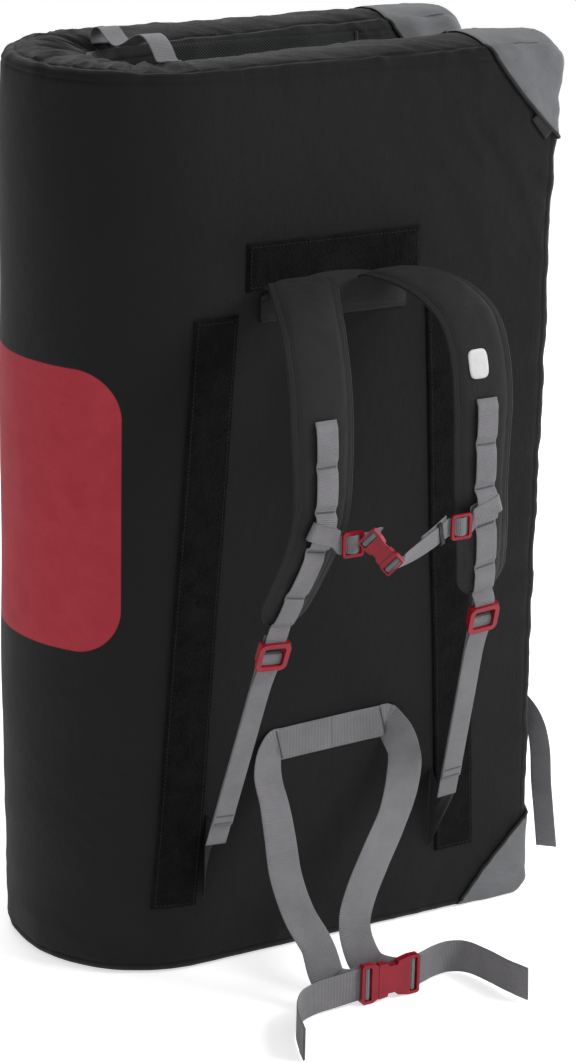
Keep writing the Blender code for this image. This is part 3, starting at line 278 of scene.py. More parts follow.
def bump(tree, shader, height, distance, strength=1.0, before=None):
    values = {"Height": height, "Distance": distance, "Strength": strength}
    if before:
        values["Normal"] = before
    made = node(tree, "ShaderNodeBump", values).outputs[0]
    tree.links.new(made, shader.inputs["Normal"])
    return made


def rough_by(tree, shader, factor, low, high):
    made = node(tree, "ShaderNodeMapRange", {0: factor, 3: low, 4: high}).outputs[0]
    tree.links.new(made, shader.inputs["Roughness"])


def slub(tree, u, v, scale_u, scale_v):
    """Noise drawn out along one set of threads."""
    parts = {0: maths(tree, "MULTIPLY", u, scale_u), 1: maths(tree, "MULTIPLY", v, scale_v)}
    return spots(tree, node(tree, "ShaderNodeCombineXYZ", parts).outputs[0], 1.0, 2.0)


def cloth(name, low, high, roughness, pitch, weave_depth, crease_depth, sheen=0.05, spread=14.0):
    """Woven cloth: thread pattern, cloudy colour, small creases and rubbed patches."""
    made, tree, shader, place, u, v = new_material(
        name, roughness, Sheen_Weight=sheen, Sheen_Roughness=0.45, Specular_IOR_Level=0.20
    )
    clouds = spots(tree, place, spread, 4.0, 0.62)
    fibres = spots(tree, place, 900.0, 2.0)
    weave = threads(tree, u, v, pitch, pitch)
    slubs = maths(tree, "ADD", slub(tree, u, v, 620.0, 26.0), slub(tree, u, v, 26.0, 620.0))
    mixed = summed(tree, (clouds, 0.45), (fibres, 0.10), (slubs, 0.22), (weave, 0.04))
    colour = paint(tree, shader, mixed, low, high)
    rough_by(tree, shader, clouds, roughness - 0.08, roughness + 0.10)
    creases = bump(tree, shader, spots(tree, place, 75.0, 3.0), crease_depth)
    lines = bump(tree, shader, slubs, weave_depth * 2.5, before=creases)
    bump(tree, shader, weave, weave_depth, before=lines)
    return made, tree, shader, place, colour, (u, v)


def print_on(tree, shader, place, colour, uv, centre, half, radius, ink):
    """A plain printed block with round corners, laid over a cloth's colour."""
    sides = []
    for value, middle in zip(uv, centre):
        off = maths(tree, "ABSOLUTE", maths(tree, "SUBTRACT", value, middle))
        sides.append(maths(tree, "MAXIMUM", maths(tree, "SUBTRACT", off, half - radius), 0.0))
    squares = [maths(tree, "MULTIPLY", side, side) for side in sides]
    away = maths(tree, "SQRT", maths(tree, "ADD", *squares))
    limits = {0: away, 1: radius - 0.0005, 2: radius + 0.0005, 3: 1.0, 4: 0.0}
    mask = node(tree, "ShaderNodeMapRange", limits).outputs[0]
    tone = between(tree, spots(tree, place, 40.0, 4.0), *ink)
    mixed = node(tree, "ShaderNodeMix", {0: mask, 6: colour, 7: tone}, data_type="RGBA")
    tree.links.new(mixed.outputs[2], shader.inputs["Base Color"])


def make_cover_cloth():
    made, *parts = cloth(
        "black_cover", (0.0024, 0.0024, 0.0027), (0.0058, 0.0058, 0.0063), 0.66,
        0.0013, 0.00016, 0.0012, 0.018,
    )
    centre = (outer_radius * PI / 2 + 0.014, 0.531)
    print_on(*parts, centre, 0.156, 0.052, ((0.430, 0.034, 0.050), (0.490, 0.044, 0.062)))
    return made


def make_hook_cloth():
    """Hook-and-loop: very dark and matted, with coarse and fine bumps."""
    made, tree, shader, place, u, v = new_material(
        "hook_cloth", 0.95, Sheen_Weight=0.03, Sheen_Roughness=0.6, Specular_IOR_Level=0.08
    )
    mat = spots(tree, place, 400.0, 3.0, 0.7)
    clumps = spots(tree, place, 60.0, 3.0)
    mixed = summed(tree, (mat, 0.6), (clumps, 0.4))
    paint(tree, shader, mixed, (0.0006, 0.0006, 0.0008), (0.0078, 0.0078, 0.0085), 0.38, 0.62)
    low = bump(tree, shader, clumps, 0.0012)
    bump(tree, shader, mat, 0.0016, before=low)
    return made


def make_webbing_cloth(name, low, high, pitch=0.0019):
    """Webbing: cross ribs, a fine weave and a little dirt."""
    made, tree, shader, place, u, v = new_material(
        name, 0.68, Sheen_Weight=0.08, Sheen_Roughness=0.4, Specular_IOR_Level=0.35
    )
    rib = maths(tree, "SINE", maths(tree, "MULTIPLY", v, 2 * PI / pitch))
    yarn = threads(tree, u, v, 0.0022, pitch * 2)
    dirt = spots(tree, place, 30.0, 5.0, 0.65)
    fibres = spots(tree, place, 1100.0, 2.0)
    lines = maths(tree, "ADD", rib, yarn)
    mixed = maths(tree, "ADD", summed(tree, (dirt, 0.55), (fibres, 0.25), (lines, 0.05)), 0.08)
    paint(tree, shader, mixed, low, high, 0.25, 0.75)
    rough_by(tree, shader, dirt, 0.60, 0.78)
    soft = bump(tree, shader, yarn, 0.00014)
    bump(tree, shader, rib, 0.00022, before=soft)
    return made


def make_plastic():
    made, tree, shader, place, u, v = new_material(
        "red_plastic", 0.34, Specular_IOR_Level=0.30, Coat_Weight=0.04, Coat_Roughness=0.25
    )
    flow = spots(tree, place, 55.0, 3.0)
    grain = spots(tree, place, 1500.0, 2.0)
    paint(tree, shader, flow, (0.240, 0.004, 0.014), (0.320, 0.007, 0.022))
    rough_by(tree, shader, flow, 0.28, 0.42)
    bump(tree, shader, grain, 0.00006)
    return made


def make_mesh_cloth():
    """Diamond mesh: thin dark cords round darker holes."""
    made, tree, shader, place, u, v = new_material("mesh_cloth", 0.55, Specular_IOR_Level=0.3)
    pitch = 0.0034
    cords = []
    for operation in ("ADD", "SUBTRACT"):
        run = maths(tree, "MULTIPLY", maths(tree, operation, u, v), PI / pitch)
        cords.append(maths(tree, "ABSOLUTE", maths(tree, "SINE", run)))
    hole = maths(tree, "MULTIPLY", *cords)
    paint(tree, shader, hole, (0.020, 0.021, 0.022), (0.0035, 0.0062, 0.0066), 0.18, 0.40)
    bump(tree, shader, maths(tree, "SUBTRACT", 1.0, hole), 0.0009)
    return made


def make_plain(name, low, high, roughness, scale, depth, **fixed):
    made, tree, shader, place, u, v = new_material(name, roughness, **fixed)
    tone = spots(tree, place, scale, 4.0)
    paint(tree, shader, tone, low, high)
    bump(tree, shader, tone, depth)
    return made


black_cloth = make_cover_cloth()
landing_cloth = cloth(
    "landing_cloth", (0.008, 0.008, 0.0088), (0.0140, 0.0140, 0.0152), 0.64, 0.0012, 0.00010, 0.0010
)[0]
grey_cloth = cloth(
    "grey_cloth", (0.135, 0.139, 0.147), (0.200, 0.205, 0.215), 0.60, 0.0015, 0.00014, 0.0009, 0.05, 26.0
)[0]
pad_cloth = cloth(
    "pad_cloth", (0.0095, 0.0095, 0.0102), (0.0160, 0.0160, 0.0170), 0.62, 0.0014, 0.00013, 0.0006, 0.05, 30.0
)[0]
hook_cloth = make_hook_cloth()
webbing_cloth = make_webbing_cloth("webbing_cloth", (0.152, 0.148, 0.159), (0.268, 0.262, 0.278))
binding_cloth = make_webbing_cloth("binding_cloth", (0.008, 0.008, 0.009), (0.020, 0.020, 0.022), 0.0012)
red_plastic = make_plastic()
mesh_cloth = make_mesh_cloth()
badge_rubber = make_plain("badge_rubber", (0.62, 0.62, 0.62), (0.70, 0.70, 0.70), 0.45, 90.0, 0.00008)
grey_thread = make_plain("grey_thread", (0.060, 0.060, 0.066), (0.105, 0.105, 0.112), 0.7, 1400.0, 0.0002)
black_thread = make_plain("black_thread", (0.008, 0.008, 0.009), (0.016, 0.016, 0.017), 0.7, 1400.0, 0.0002)


# Mesh helpers


def add_object(name, vertices, faces, finish, uv, smooth=True):
    mesh = bpy.data.meshes.new(name)
    points = [tuple(map(float, point)) for point in vertices]
    mesh.from_pydata(points, [], [tuple(map(int, face)) for face in faces])
    mesh.materials.append(finish)
    if smooth:
        mesh.shade_smooth()
    layer = mesh.uv_layers.new(name="UVMap")
    layer.data.foreach_set("uv", np.asarray(uv, np.float32).ravel())
    made = bpy.data.objects.new(name, mesh)
    bpy.context.scene.collection.objects.link(made)
    return made


def finish_piece(piece, body, replaces=(), blend=None):
    if replaces:
        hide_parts(*replaces)
    if blend:
        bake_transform(piece)
    else:
        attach(piece, body)


def blank_grid(rows, columns):
    """Empty points, normals and UV coordinates of a grid."""
    return np.zeros((rows, columns, 3)), np.zeros((rows, columns, 3)), np.zeros((rows, columns, 2))


def unit_rows(values):
    return values / np.linalg.norm(values, axis=1)[:, None]


def run_lengths(points):
    """Length along a line at each of its points."""
    return np.concatenate([[0], np.cumsum(np.linalg.norm(np.diff(points, axis=0), axis=1))])


def wave(x, y, z=0.0):
    return noise.noise(Vector((x, y, z)))


def grid_faces(rows, columns, closed=False):
    made = []
    for i in range(rows - 1):
        here, above = i * columns, (i + 1) * columns
        for j in range(columns if closed else columns - 1):
            after = (j + 1) % columns
            made.append((here + j, here + after, above + after, above + j))
    return made


def thin_solid(name, points, normals, uv, thickness, finish, rim=0.45):
    """A closed thin slab on a grid of points: full inside, thinner and rounded at its rim."""
    rows, columns = points.shape[:2]
    raised = np.ones((rows, columns))
    raised[0, :] = raised[-1, :] = raised[:, 0] = raised[:, -1] = rim
    top = points + normals * (raised * thickness)[..., None]
    count = rows * columns
    vertices = np.concatenate([top.reshape(-1, 3), points.reshape(-1, 3)])
    upper = grid_faces(rows, columns)
    faces = [tuple(f) for f in upper] + [tuple(i + count for i in reversed(f)) for f in upper]
    ring = list(range(columns)) + [i * columns + columns - 1 for i in range(1, rows)]
    ring += [(rows - 1) * columns + j for j in range(columns - 2, -1, -1)]
    ring += [i * columns for i in range(rows - 2, 0, -1)]
    for index, here in enumerate(ring):
        after = ring[(index + 1) % len(ring)]
        faces.append((here, here + count, after + count, after))
    a, b, c = (vertices[i] for i in upper[len(upper) // 2][:3])
    if np.dot(np.cross(b - a, c - b), normals[rows // 2, columns // 2]) < 0:
        faces = [tuple(reversed(f)) for f in faces]
    flat = uv.reshape(-1, 2)
    corners = [flat[i % count] for f in faces for i in f]
    return add_object(name, vertices, faces, finish, corners)


def section(width, thickness):
    """Outline of webbing: flat on both sides, with rounded edges."""
    deep = thickness / 2
    inner = width / 2 - deep
    line = []
    for side, edge_angles in ((1, (50, 0, -50)), (-1, (230, 180, 130))):
        line += [(side * share * inner, side * deep) for share in np.linspace(-1, 1, 9)]
        for angle in map(math.radians, edge_angles):
            line.append((side * inner + deep * math.cos(angle), deep * math.sin(angle)))
    return line


def smooth_route(points, ways, step=0.003):
    """Close points along a smooth curve through a route, and the directions between."""
    points = [np.array(p, float) for p in points]
    ways = [np.array(w, float) / np.linalg.norm(w) for w in ways]
    kept = [0] + [i for i in range(1, len(points)) if np.linalg.norm(points[i] - points[i - 1]) > 1e-6]
    points = [points[i] for i in kept]
    ways = [ways[i] for i in kept]
    route, turned = [points[0]], [ways[0]]
    last = len(points) - 1
    for i in range(last):
        p1, p2 = points[i], points[i + 1]
        p0 = points[i - 1] if i else 2 * p1 - p2
        p3 = points[i + 2] if i + 2 <= last else 2 * p2 - p1
        knots = [0.0]
        for a, b in ((p0, p1), (p1, p2), (p2, p3)):
            knots.append(knots[-1] + math.sqrt(np.linalg.norm(b - a)) + 1e-9)
        t0, t1, t2, t3 = knots
        count = max(1, math.ceil(np.linalg.norm(p2 - p1) / step))
        for k in range(1, count + 1):
            share = k / count
            t = t1 + (t2 - t1) * share
            a1 = (t1 - t) / (t1 - t0) * p0 + (t - t0) / (t1 - t0) * p1
            a2 = (t2 - t) / (t2 - t1) * p1 + (t - t1) / (t2 - t1) * p2
            a3 = (t3 - t) / (t3 - t2) * p2 + (t - t2) / (t3 - t2) * p3
            b1 = (t2 - t) / (t2 - t0) * a1 + (t - t0) / (t2 - t0) * a2
            b2 = (t3 - t) / (t3 - t1) * a2 + (t - t1) / (t3 - t1) * a3
            route.append((t2 - t) / (t2 - t1) * b1 + (t - t1) / (t2 - t1) * b2)
            turned.append(ways[i] * (1 - share) + ways[i + 1] * share)
    return np.array(route), np.array(turned)


hem_fatness = 1.7


def strap(
    name, route, ways, width, finish=webbing_cloth, thickness=webbing, squared=True, hems=(0, 0), step=0.003
):
    """Webbing swept along a route. Hems are the lengths at both ends where it is folded double."""
    route, turned = smooth_route(route, ways, step)
    tangents = unit_rows(np.gradient(route, axis=0))
    along = run_lengths(route)
    outline = section(width, thickness)
    vertices, uvs = [], []
    for i, (point, tangent, way) in enumerate(zip(route, tangents, turned)):
        across = way - tangent * way.dot(tangent) if squared else way
        across = across / np.linalg.norm(across)
        face = np.cross(tangent, across)
        face /= np.linalg.norm(face)
        fat = hem_fatness if along[i] < hems[0] or along[-1] - along[i] < hems[1] else 1.0
        narrow = 1.0 + 0.010 * wave(along[i] * 40, width * 900)
        for c, n in outline:
            vertices.append(point + across * c * narrow + face * n * fat)
            uvs.append((c if n > 0 else c + width, along[i]))
    count = len(outline)
    faces = grid_faces(len(route), count, closed=True)
    return closed_tube(name, vertices, faces, uvs, count, finish)


def closed_tube(name, vertices, faces, uvs, count, finish):
    """Ends the rings of a tube with two flat faces and makes it an object."""
    last = len(vertices) - count
    faces += [list(range(count))[::-1], list(range(last, last + count))]
    made = add_object(name, vertices, faces, finish, [uvs[i] for face in faces for i in face])
    fix_winding(made)
    return made


def fix_winding(made):
    """Turns a closed mesh the right way out."""
    mesh = made.data
    count = len(mesh.vertices)
    spots_at = np.empty(count * 3)
    mesh.vertices.foreach_get("co", spots_at)
    spots_at = spots_at.reshape(-1, 3) - spots_at.reshape(-1, 3).mean(0)
    volume = 0.0
    for face in mesh.polygons:
        a = spots_at[face.vertices[0]]
        for j in range(1, len(face.vertices) - 1):
            volume += a.dot(np.cross(spots_at[face.vertices[j]], spots_at[face.vertices[j + 1]]))
    if volume < 0:
        mesh.flip_normals()


def tube(name, points, radius, finish, sides, flat, normals):
    """A cord or piping along points, flattened along its normals."""
    points = np.array(points, float)
    tangents = unit_rows(np.gradient(points, axis=0))
    along = run_lengths(points)
    vertices, uvs = [], []
    for i, point in enumerate(points):
        normal = np.array(normals[i], float)
        normal -= tangents[i] * normal.dot(tangents[i])
        normal /= np.linalg.norm(normal)
        side = np.cross(tangents[i], normal)
        for k in range(sides):
            angle = 2 * PI * k / sides
            vertices.append(point + radius * (side * math.cos(angle) + normal * flat * math.sin(angle)))
            uvs.append((k * radius, along[i]))
    return closed_tube(name, vertices, grid_faces(len(points), sides, closed=True), uvs, sides, finish)


def at_length(spot, along, values):
    return np.array([np.interp(spot, along, values[:, axis]) for axis in range(3)])


def stitches(name, runs, finish, radius):
    """Rows of single stitches, each a small rounded bar along its run of points and normals."""
    length, gap, reach = 0.0032, 0.0014, 0.0005
    vertices, faces = [], []
    for points, normals in runs:
        points, normals = np.array(points, float), np.array(normals, float)
        along = run_lengths(points)
        total = along[-1]
        start = 0.0
        while start + length < total:
            base = len(vertices)
            for k, s in enumerate(np.linspace(start, start + length, 4)):
                inner = k in (1, 2)
                normal = at_length(s, along, normals)
                normal /= np.linalg.norm(normal)
                way = at_length(min(s + reach, total), along, points)
                way -= at_length(max(s - reach, 0), along, points)
                way /= np.linalg.norm(way)
                side = np.cross(way, normal)
                size = radius * (1 if inner else 0.45)
                middle = at_length(s, along, points) + normal * (radius * 0.6 if inner else -radius * 0.2)
                for angle in (45, 135, 225, 315):
                    angle = math.radians(angle)
                    vertices.append(middle + size * (side * math.cos(angle) + normal * math.sin(angle)))
            faces += [tuple(base + i for i in face) for face in grid_faces(4, 4, closed=True)]
            faces += [(base + 3, base + 2, base + 1, base), (base + 12, base + 13, base + 14, base + 15)]
            start += length + gap
    made = add_object(name, vertices, faces, finish, [(0, 0)] * sum(map(len, faces)))
    fix_winding(made)
    return made


# Cover: one surface round the halves and the fold

edge_round = 0.012
seam_depth = 0.0011
seam_width = 0.0018
pucker_depth = 0.0015
pucker_reach = 0.016
rumple_depth = 0.0022
rumple_reach = 0.040
face_fold_depth = 0.0048
band_fold_depth = 0.0016
fold_top_wave = 0.0042
fold_top_crease = 0.0030
weld_scale = 1e5
landing_uv_shift = 0.2
fine = (
    0, 0.0009, 0.0018, 0.0035, 0.0053, 0.0074, 0.0096, 0.0108, 0.012, 0.0132, 0.015, 0.018, 0.021, 0.024,
    0.030,
)
rim_steps = (0, 0.0009, 0.0035, 0.0074, 0.0105, 0.012, 0.0135, 0.018)
split_column = 3
column_step = 0.005


def rise_of(z):
    return np.abs(2 * z / panel_height - 1)


def crown_at(z):
    return 1 - rise_of(z) ** 6


def edge_of(z):
    return open_x + corner_flare * rise_of(z) ** 5


def rim_x(z):
    drop = corner_radius - np.minimum(z, panel_height - z)
    inside = np.sqrt(np.maximum(corner_radius**2 - np.maximum(drop, 0) ** 2, 0))
    return np.where(drop <= 0, edge_of(z), edge_of(z) - corner_radius + inside)


def outer_depth(x, z):
    share = np.clip((x - fold_x) / leg_length, 0, 1)
    return half_thickness + face_crown * (1 - share**6) * crown_at(z)


def landing_depth(x, z):
    share = np.clip((x - fold_x) / leg_length, 0, 1)
    return -half_thickness - landing_crown * (1 - np.abs(2 * share - 1) ** 6) * crown_at(z)


def edge_distance(x, z):
    """Distance from a point of a face to the half's outline."""
    near = np.minimum(z, panel_height - z)
    centre = edge_of(z) - corner_radius
    corner = (x > centre) & (near < corner_radius)
    round_way = corner_radius - np.hypot(x - centre, corner_radius - near)
    return np.maximum(np.where(corner, round_way, np.minimum(near, edge_of(z) - x)), 0)


def drop_at(e):
    e = np.clip(e, 0, edge_round)
    return edge_round - np.sqrt(np.maximum(edge_round**2 - (edge_round - e) ** 2, 0))


def bulge_at(depth):
    return gusset_bulge * np.maximum(1 - (depth / (half_thickness - edge_round)) ** 2, 0)


def seam_groove(away):
    """How deep a seam draws the cloth in, at a distance from it."""
    return -seam_depth * np.exp(-((away / seam_width) ** 2))


def face_groove(e):
    """Depth of the two seams that bound the rounded edge, at a distance from the outline."""
    round_way = edge_round * np.arccos(1 - np.clip(e / edge_round, 0, 1))
    round_way = np.where(e > edge_round, edge_round * PI / 2 + e, round_way)
    return seam_groove(e - edge_round) + seam_groove(round_way)


levels = list(fine) + list(np.arange(0.036, panel_height - 0.0359, 0.008))
levels += [panel_height - z for z in reversed(fine)]
levels = np.array(sorted(set(np.round(levels, 6))))
level_count = len(levels)
inner_run = open_x - rim_steps[-1] - fold_x
column_shares = np.array(list(np.arange(0, inner_run - column_step / 2, column_step) / inner_run) + [1.0])
angle_count = 84
angles = np.linspace(0, PI, angle_count + 1)
band_depth = half_thickness - edge_round
band_shares = (
    1, 0.967, 0.93, 0.86, 0.74, 0.58, 0.38, 0.15, -0.1, -0.34, -0.55, -0.72, -0.85, -0.93, -0.967, -1,
)
band_steps = band_depth * np.array(band_shares)
patches = {}


def vector_noise(points, function=wave):
    made = [function(*point) for point in points.reshape(-1, 3)]
    return np.array(made).reshape(points.shape[:-1])


def ridged(values):
    """Turns soft noise into narrow creases between rounded folds."""
    return 0.5 - np.sqrt(np.abs(values) + 0.02) * 1.4


def broad_waves(x, y, z):
    return wave(x * 7, y * 7, z * 4.5) * 0.0020 + wave(x * 19, y * 19, z * 13) * 0.0006


def face_slant(x, y, z):
    return wave(x * 6 - z * 8, x * 34 + z * 30, y * 6 + 3)


def band_waves(x, y, z):
    return wave(x * 16 + z * 9, y * 30, z * 16 - x * 9 + 5) * 0.0026


def band_slant(x, y, z):
    return wave(x * 34 + y * 42, y * 12 - z * 26, x * 10 + z * 30)


def add_patch(name, points, uv, groove, near_top, near_rim, facing, band=False):
    """A grid of the cover. It holds how far each point is pushed in or out along its normal."""
    push = groove.copy()
    for reach, along, seed in ((near_top, uv[..., 0], 3.1), (near_rim, points[..., 2], 7.7)):
        lattice = np.stack([along * 62, reach * 14, np.full_like(along, seed)], -1)
        push += pucker_depth * np.exp(-reach / pucker_reach) * vector_noise(lattice)
        lattice = np.stack([along * 24, reach * 9, np.full_like(along, seed + 4)], -1)
        push += rumple_depth * np.exp(-reach / rumple_reach) * vector_noise(lattice)
    if not band:
        x, z = points[..., 0], points[..., 2]
        high = np.clip((z - 0.66) / 0.30, 0, 1) * np.clip((x + 0.02) / 0.26, 0, 1)
        low = np.clip((0.30 - z) / 0.25, 0, 1) * 0.4
        push += face_fold_depth * (high + low) * ridged(vector_noise(points, face_slant))
    push += vector_noise(points, broad_waves) * (0.8 if band else 1.0)
    if band:
        push += vector_noise(points, band_waves)
        push += band_fold_depth * ridged(vector_noise(points, band_slant))
    patches[name] = {"points": points, "uv": uv, "push": push, "facing": np.array(facing, float)}


def half_point(front, x, depth, z):
    """A point of a half, by its depth out from the half's middle."""
    y = -depth if front else back_y + depth
    return np.stack(np.broadcast_arrays(x, y, z), -1).astype(float)


def fold_points(angle, radius, z):
    return np.stack([fold_x - radius * np.sin(angle), fold_y - radius * np.cos(angle), z], -1)


def face_grid():
    z = levels[:, None]
    rim = rim_x(z)
    inner = fold_x + column_shares[None, :] * (rim - rim_steps[-1] - fold_x)
    outer = rim - np.array(rim_steps[::-1])[None, 1:]
    x = np.concatenate([inner, outer], axis=1)
    return x, np.broadcast_to(z, x.shape).copy()


def outward_of(line):
    """Directions square to a flat line, to its right."""
    ways = unit_rows(np.gradient(line, axis=0))
    return np.stack([ways[:, 1], -ways[:, 0]], -1)


def make_patches():
    x, z = face_grid()
    e = edge_distance(x, z)
    drop = drop_at(e)
    groove = face_groove(e)
    near_top = np.maximum(np.minimum(z, panel_height - z) - edge_round, 0)
    near_rim = np.maximum(edge_of(z) - x - edge_round, 0)
    run = x - fold_x
    columns = x.shape[1]
    outline = [(0, j) for j in range(columns)] + [(i, columns - 1) for i in range(1, level_count)]
    outline += [(level_count - 1, j) for j in range(columns - 2, -1, -1)]
    ox = np.array([x[i, j] for i, j in outline])
    oz = np.array([z[i, j] for i, j in outline])
    out = outward_of(np.stack([ox, oz], -1))
    out[: columns - 1] = (0, -1)
    out[-columns + 1 :] = (0, 1)
    swell = np.clip(oz / (4 * corner_radius), 0, 1)
    spine = np.concatenate([[0], np.cumsum(np.hypot(np.diff(ox), np.diff(oz)))])
    fold_run = outer_radius * PI
    for front in (True, False):
        label, sign, base = ("front", -1, 0) if front else ("back", 1, fold_run)
        flat_run = base + sign * run
        add_patch(
            f"{label}_outer", half_point(front, x, outer_depth(x, z) - drop, z),
            np.stack([flat_run, z], -1), groove, near_top, near_rim, (0, sign, 0),
        )
        add_patch(
            f"{label}_landing", half_point(front, x, landing_depth(x, z) + drop, z),
            np.stack([flat_run, -z - landing_uv_shift], -1), groove, near_top, near_rim + 0.01, (0, -sign, 0),
        )
        puff = bulge_at(band_steps[None, :]) * swell[:, None]
        px = ox[:, None] + out[:, :1] * puff
        pz = oz[:, None] + out[:, 1:] * puff
        depths = band_steps[None, :] + 0 * px
        reach = band_depth - np.abs(depths)
        upright = np.abs(out[:, :1]) + 0 * px
        uv = np.stack([spine[:, None] + (0 if front else 3) + 0 * px, depths + 2], -1)
        add_patch(
            f"{label}_band", half_point(front, px, depths, pz), uv,
            seam_groove(reach) * (swell[:, None] * 0.9 + 0.1),
            reach + upright * 0.02, reach + (1 - upright) * 0.02, (0, 0, -1), band=True,
        )
    height, turn_at = np.meshgrid(levels, angles, indexing="ij")
    e = np.minimum(height, panel_height - height)
    near = np.maximum(e - edge_round, 0)
    for name, radius, side in (
        ("fold_outer", outer_radius + face_crown * crown_at(height) - drop_at(e), 1),
        ("fold_landing", inner_radius + drop_at(e), -1),
    ):
        run = turn_at * (outer_radius if side > 0 else inner_radius)
        uv = np.stack([run, height if side > 0 else -height - landing_uv_shift], -1)
        points = fold_points(turn_at, radius, height)
        add_patch(name, points, uv, face_groove(e), near, np.ones_like(near), (-side, 0, 0))
    turn_at, depths = np.meshgrid(angles, band_steps, indexing="ij")
    radius = fold_y + depths
    reach = band_depth - np.abs(depths)
    for name, top in (("fold_top", True), ("fold_bottom", False)):
        z = panel_height + bulge_at(depths) if top else np.zeros_like(depths)
        uv = np.stack([turn_at * radius, depths + 2], -1)
        groove = seam_groove(reach) * (1 if top else 0.1)
        points = fold_points(turn_at, radius, z)
        add_patch(name, points, uv, groove, reach, reach + 1, (0, 0, 1 if top else -1), band=True)
    folds = patches["fold_top"]
    lattice = np.stack([turn_at * 7.5 + radius * 9, radius * 12, 0 * radius + 2.2], -1)
    folds["push"] += fold_top_wave * vector_noise(lattice)
    lattice = np.stack([turn_at * 17, radius * 16, 0 * radius + 8.2], -1)
    folds["push"] += fold_top_crease * ridged(vector_noise(lattice))


def spine_warp(points):
    """How far the top's inner edge rises towards the open end and dips at the fold."""
    x, y, z = points[:, 0], points[:, 1], points[:, 2]
    radius = np.hypot(x - fold_x, y - fold_y)
    depth = np.where(x > fold_x, np.where(y < fold_y, -y, y - back_y), radius - fold_y)
    inward = np.clip((half_thickness - depth) / pad_thickness, 0, 1)
    high = np.clip((z - panel_height + 0.09) / 0.08, 0, 1)
    high = high * high * (3 - 2 * high)
    places = (-0.30, -0.158, -0.045, 0.09, 0.22, 0.30)
    lifts = (-0.006, -0.009, -0.004, 0.001, 0.0035, 0.002)
    return np.interp(x, places, lifts) * inward * high


make_patches()
order = list(patches)
all_points = np.concatenate([patches[n]["points"].reshape(-1, 3) for n in order])
all_push = np.concatenate([patches[n]["push"].reshape(-1) for n in order])
starts, total = {}, 0
for patch_name in order:
    starts[patch_name] = total
    total += patches[patch_name]["push"].size
keys = np.round(all_points * weld_scale + 0.3137).astype(np.int64)
_, welded = np.unique(keys, axis=0, return_inverse=True)
welded = welded.reshape(-1)
vertex_count = welded.max() + 1
tally = np.bincount(welded, minlength=vertex_count)
cover_points = [np.bincount(welded, all_points[:, axis], vertex_count) / tally for axis in range(3)]
cover_points = np.stack(cover_points, -1)
cover_push = np.bincount(welded, all_push, vertex_count) / tally


def patch_faces(name, rows=None, columns=None):
    """Faces of part of a patch, as places in the joined list of all patches' points."""
    points = patches[name]["points"]
    m, n = points.shape[:2]
    r0, r1 = rows or (0, m - 1)
    c0, c1 = columns or (0, n - 1)
    i, j = np.meshgrid(np.arange(r0, r1), np.arange(c0, c1), indexing="ij")
    here = (i * n + j).reshape(-1)
    quads = np.stack([here, here + 1, here + n + 1, here + n], -1) + starts[name]
    if patches[name].get("flip"):
        quads = quads[:, ::-1]
    return quads


def face_normals(quads, points):
    a, b, c, d = (points[welded[quads[:, k]]] for k in range(4))
    return np.cross(c - a, d - b)


for patch_name in order:
    rows, columns = patches[patch_name]["push"].shape
    row = 0 if patch_name.endswith("_band") else rows // 2
    probe = patch_faces(patch_name, (row, row + 1), (columns // 2, columns // 2 + 1))
    facing = face_normals(probe, cover_points)[0].dot(patches[patch_name]["facing"])
    patches[patch_name]["flip"] = bool(facing < 0)


def cover_normals(points):
    quads = np.concatenate([patch_faces(n) for n in order])
    normals = np.zeros((vertex_count, 3))
    facing = face_normals(quads, points)
    for k in range(4):
        for a in range(3):
            normals[:, a] += np.bincount(welded[quads[:, k]], facing[:, a], vertex_count)
    return normals / np.maximum(np.linalg.norm(normals, axis=1), 1e-12)[:, None], quads


plain_normals, all_quads = cover_normals(cover_points)
on_floor = np.clip(cover_points[:, 2] / 0.010, 0, 1)
cover_points = cover_points + plain_normals * (cover_push * on_floor)[:, None]
cover_points[:, 2] += spine_warp(cover_points)
cover_points[:, 2] = np.maximum(cover_points[:, 2], 0)
smooth_normals, _ = cover_normals(cover_points)
cover_tree = BVHTree.FromPolygons(
    [tuple(p) for p in cover_points], [tuple(int(welded[i]) for i in q) for q in all_quads]
)
all_uv = np.concatenate([patches[n]["uv"].reshape(-1, 2) for n in order])


def cover_piece(name, groups):
    """A piece of the cover from groups of (faces, material index)."""
    quads = np.concatenate([faces for faces, _ in groups])
    kinds = np.concatenate([np.full(len(faces), kind) for faces, kind in groups])
    joined = welded[quads]
    used, compact = np.unique(joined, return_inverse=True)
    faces = compact.reshape(joined.shape)
    made = add_object(name, cover_points[used], faces, black_cloth, all_uv[quads.reshape(-1)])
    made.data.materials.append(landing_cloth)
    made.data.polygons.foreach_set("material_index", kinds.astype(np.int32))
    made.data.normals_split_custom_set_from_vertices([tuple(n) for n in smooth_normals[used]])
    return made


def half_groups(label, columns, outline):
    groups = [
        (patch_faces(f"{label}_outer", None, columns), 0),
        (patch_faces(f"{label}_landing", None, columns), 1),
    ]
    groups += [(patch_faces(f"{label}_band", rows), 0) for rows in outline]
    return groups


